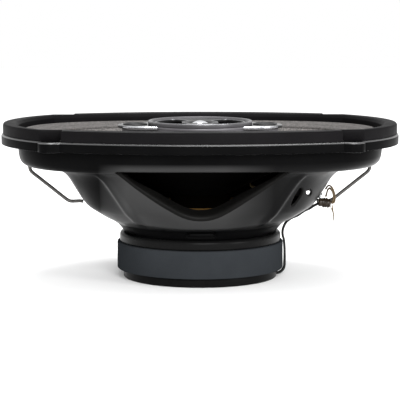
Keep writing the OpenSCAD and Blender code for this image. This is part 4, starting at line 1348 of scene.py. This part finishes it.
for nm, sy in (("a", -1), ("b", 1)):
    C = spline([(p[0], 0.85 * sy, p[2]) for p in LEAD], 8)
    m = Mesh()
    tube(m, C, 0.74, 14)
    tail = spline([(66.2, 0.85 * sy, -40.6), (67.6, 0.9 * sy - 0.2, -39.6), (69.0, 0.9 * sy - 0.8, -38.6), (70.3, 0.8 * sy - 1.4, -37.9), (71.2, 0.7 * sy - 2.0, -37.2)], 6)
    tube(m, tail, 0.72, 14)
    piece(m.obj("lead_" + nm + "_jacket", True, 50), "black_lead", "chassis", ["lead_wire_" + nm])

# ---- capacitor with its sleeve and leads
AX = np.array([math.sin(math.radians(97)), 0, math.cos(math.radians(97))])
U3 = np.array([0, 1.0, 0])
W3 = np.cross(AX, U3)
P0 = np.array([71.2, -2.8, -36.2])
prof = rounded_profile([(0, 0.1), (1.9, 0.1), (2.5, 0.5), (2.62, 1.0), (2.62, 1.5), (2.45, 1.8), (2.5, 2.2), (2.62, 2.6), (2.62, 6.4),
                        (2.5, 6.8), (2.45, 7.1), (1.7, 7.7), (0, 7.8)], 0.25, 3)
V2, F2 = [], []
for r, t in prof:
    for a in theta(40):
        V2.append(P0 + AX * t + r * (math.cos(a) * U3 + math.sin(a) * W3))
m = Mesh()
m.add(V2, grid_faces(len(prof), 40, False, True))
piece(m.obj("capacitor_can", True, 40), "cap", "chassis", ["crossover_capacitor"])
m = Mesh()
LOOPS = [
    ([[79.2, -2.8, -37.2], [81, -3, -36.2], [81.2, -3.4, -33], [80.4, -3.8, -29.4], [79, -4, -27], [77.6, -3.8, -26.2], [76.6, -3.2, -26.8], [75.6, -2.4, -28.6]], 0.46),
    ([[79.0, -3.4, -36.9], [80.0, -4.2, -35.0], [80.1, -4.8, -31.8], [79.2, -5.0, -29.0], [77.9, -4.8, -27.6], [76.8, -4.2, -28.6], [76.2, -3.4, -31.0], [75.6, -2.6, -33.0]], 0.42),
    ([[78.6, -2.0, -37.0], [80.6, -1.4, -35.6], [80.7, -1.0, -32.6], [79.6, -0.9, -29.8], [78.2, -1.0, -28.4], [77.0, -1.2, -29.4], [76.4, -1.4, -31.6], [76.0, -1.8, -33.2]], 0.4),
    ([[79.5, -3.6, -38], [79.8, -3.8, -40], [80.4, -3.9, -43.6], [80.7, -4, -47.6]], 0.34),
    ([[78.4, -3.0, -38.6], [79.1, -3.3, -40.2], [79.9, -3.6, -42.2], [80.3, -3.9, -44.0]], 0.22)]
for P, r in LOOPS:
    tube(m, spline(P, 10), r * 1.15, 12)
piece(m.obj("capacitor_wraps", True, 50), "gold", "chassis", ["capacitor_leads"])
m = Mesh()
for t0, ph in ((3.0, 0.3), (4.0, 1.4), (5.1, 2.2), (6.2, 4.0)):
    ring = []
    for a in np.linspace(ph, ph + 2 * PI * 1.15, 42):
        ring.append(P0 + AX * (t0 + 0.55 * math.sin(a * 0.5 + ph)) + 2.86 * (math.cos(a) * U3 + math.sin(a) * W3))
    tube(m, ring, 0.27, 10)
piece(m.obj("capacitor_bands", True, 50), "cap", "chassis")

# ---- terminals keep their CAD shape with eased edges
for n in ("terminal_board", "terminal_positive", "terminal_negative", "terminal_rivets"):
    ob = NODES[n]
    wd = ob.modifiers.new("weld", "WELD")
    wd.merge_threshold = 0.00001
    bv = ob.modifiers.new("bevel", "BEVEL")
    bv.width = 0.00015
    bv.segments = 2
    bv.limit_method = "ANGLE"
    bv.angle_limit = math.radians(40)

# ------------------------------------------------------------------ camera
cam_d = bpy.data.cameras.new("camera")
cam_d.lens = 159.3
cam_d.sensor_width = 36
cam_d.clip_start = 0.01
cam_d.clip_end = 20
cam = bpy.data.objects.new("camera", cam_d)
cam.location = (-0.0158, -1.061, 0.0963)
cam.rotation_euler = (math.radians(90 - 7.07), 0, math.radians(-0.85))
bpy.context.scene.collection.objects.link(cam)
bpy.context.scene.camera = cam

# ------------------------------------------------------------------ stage and light
sc = bpy.context.scene
sc.view_settings.view_transform = "Standard"
w = bpy.data.worlds.new("studio")
w.use_nodes = True
w.node_tree.nodes["Background"].inputs["Color"].default_value = (1, 1, 1, 1)
w.node_tree.nodes["Background"].inputs["Strength"].default_value = 1.0
sc.world = w

fm = Mesh()
fm.add([(-2500, -2500, 0), (2500, -2500, 0), (2500, 2500, 0), (-2500, 2500, 0)], [(0, 1, 2, 3)])
floor = fm.obj("floor", False)
floor.location.z = BACK_Z0 * MM
M = Mat("floor_paper")
M.set(Base_Color=M.ramp(M.noise(8, 3), [(0.3, (0.93, 0.93, 0.93)), (0.7, (0.96, 0.96, 0.96))]), Roughness=0.9)
floor.data.materials.append(M.m)


def area(name, loc, target, size, power, size_y=None):
    d = bpy.data.lights.new(name, "AREA")
    d.energy = power
    d.shape = "RECTANGLE"
    d.size = size
    d.size_y = size_y or size
    o = bpy.data.objects.new(name, d)
    o.location = loc
    v = Vector(target) - Vector(loc)
    o.rotation_euler = v.to_track_quat("-Z", "Y").to_euler()
    bpy.context.scene.collection.objects.link(o)
    return o


area("key", (0.2, -1.75, 0.7), (0, 0, -0.03), 0.9, 36, 0.6)
area("top", (0.1, 0.15, 1.3), (0, 0, 0), 1.1, 20, 0.7)
area("side", (1.4, -1.0, 0.35), (0.06, 0, 0.0), 0.45, 13, 0.45)
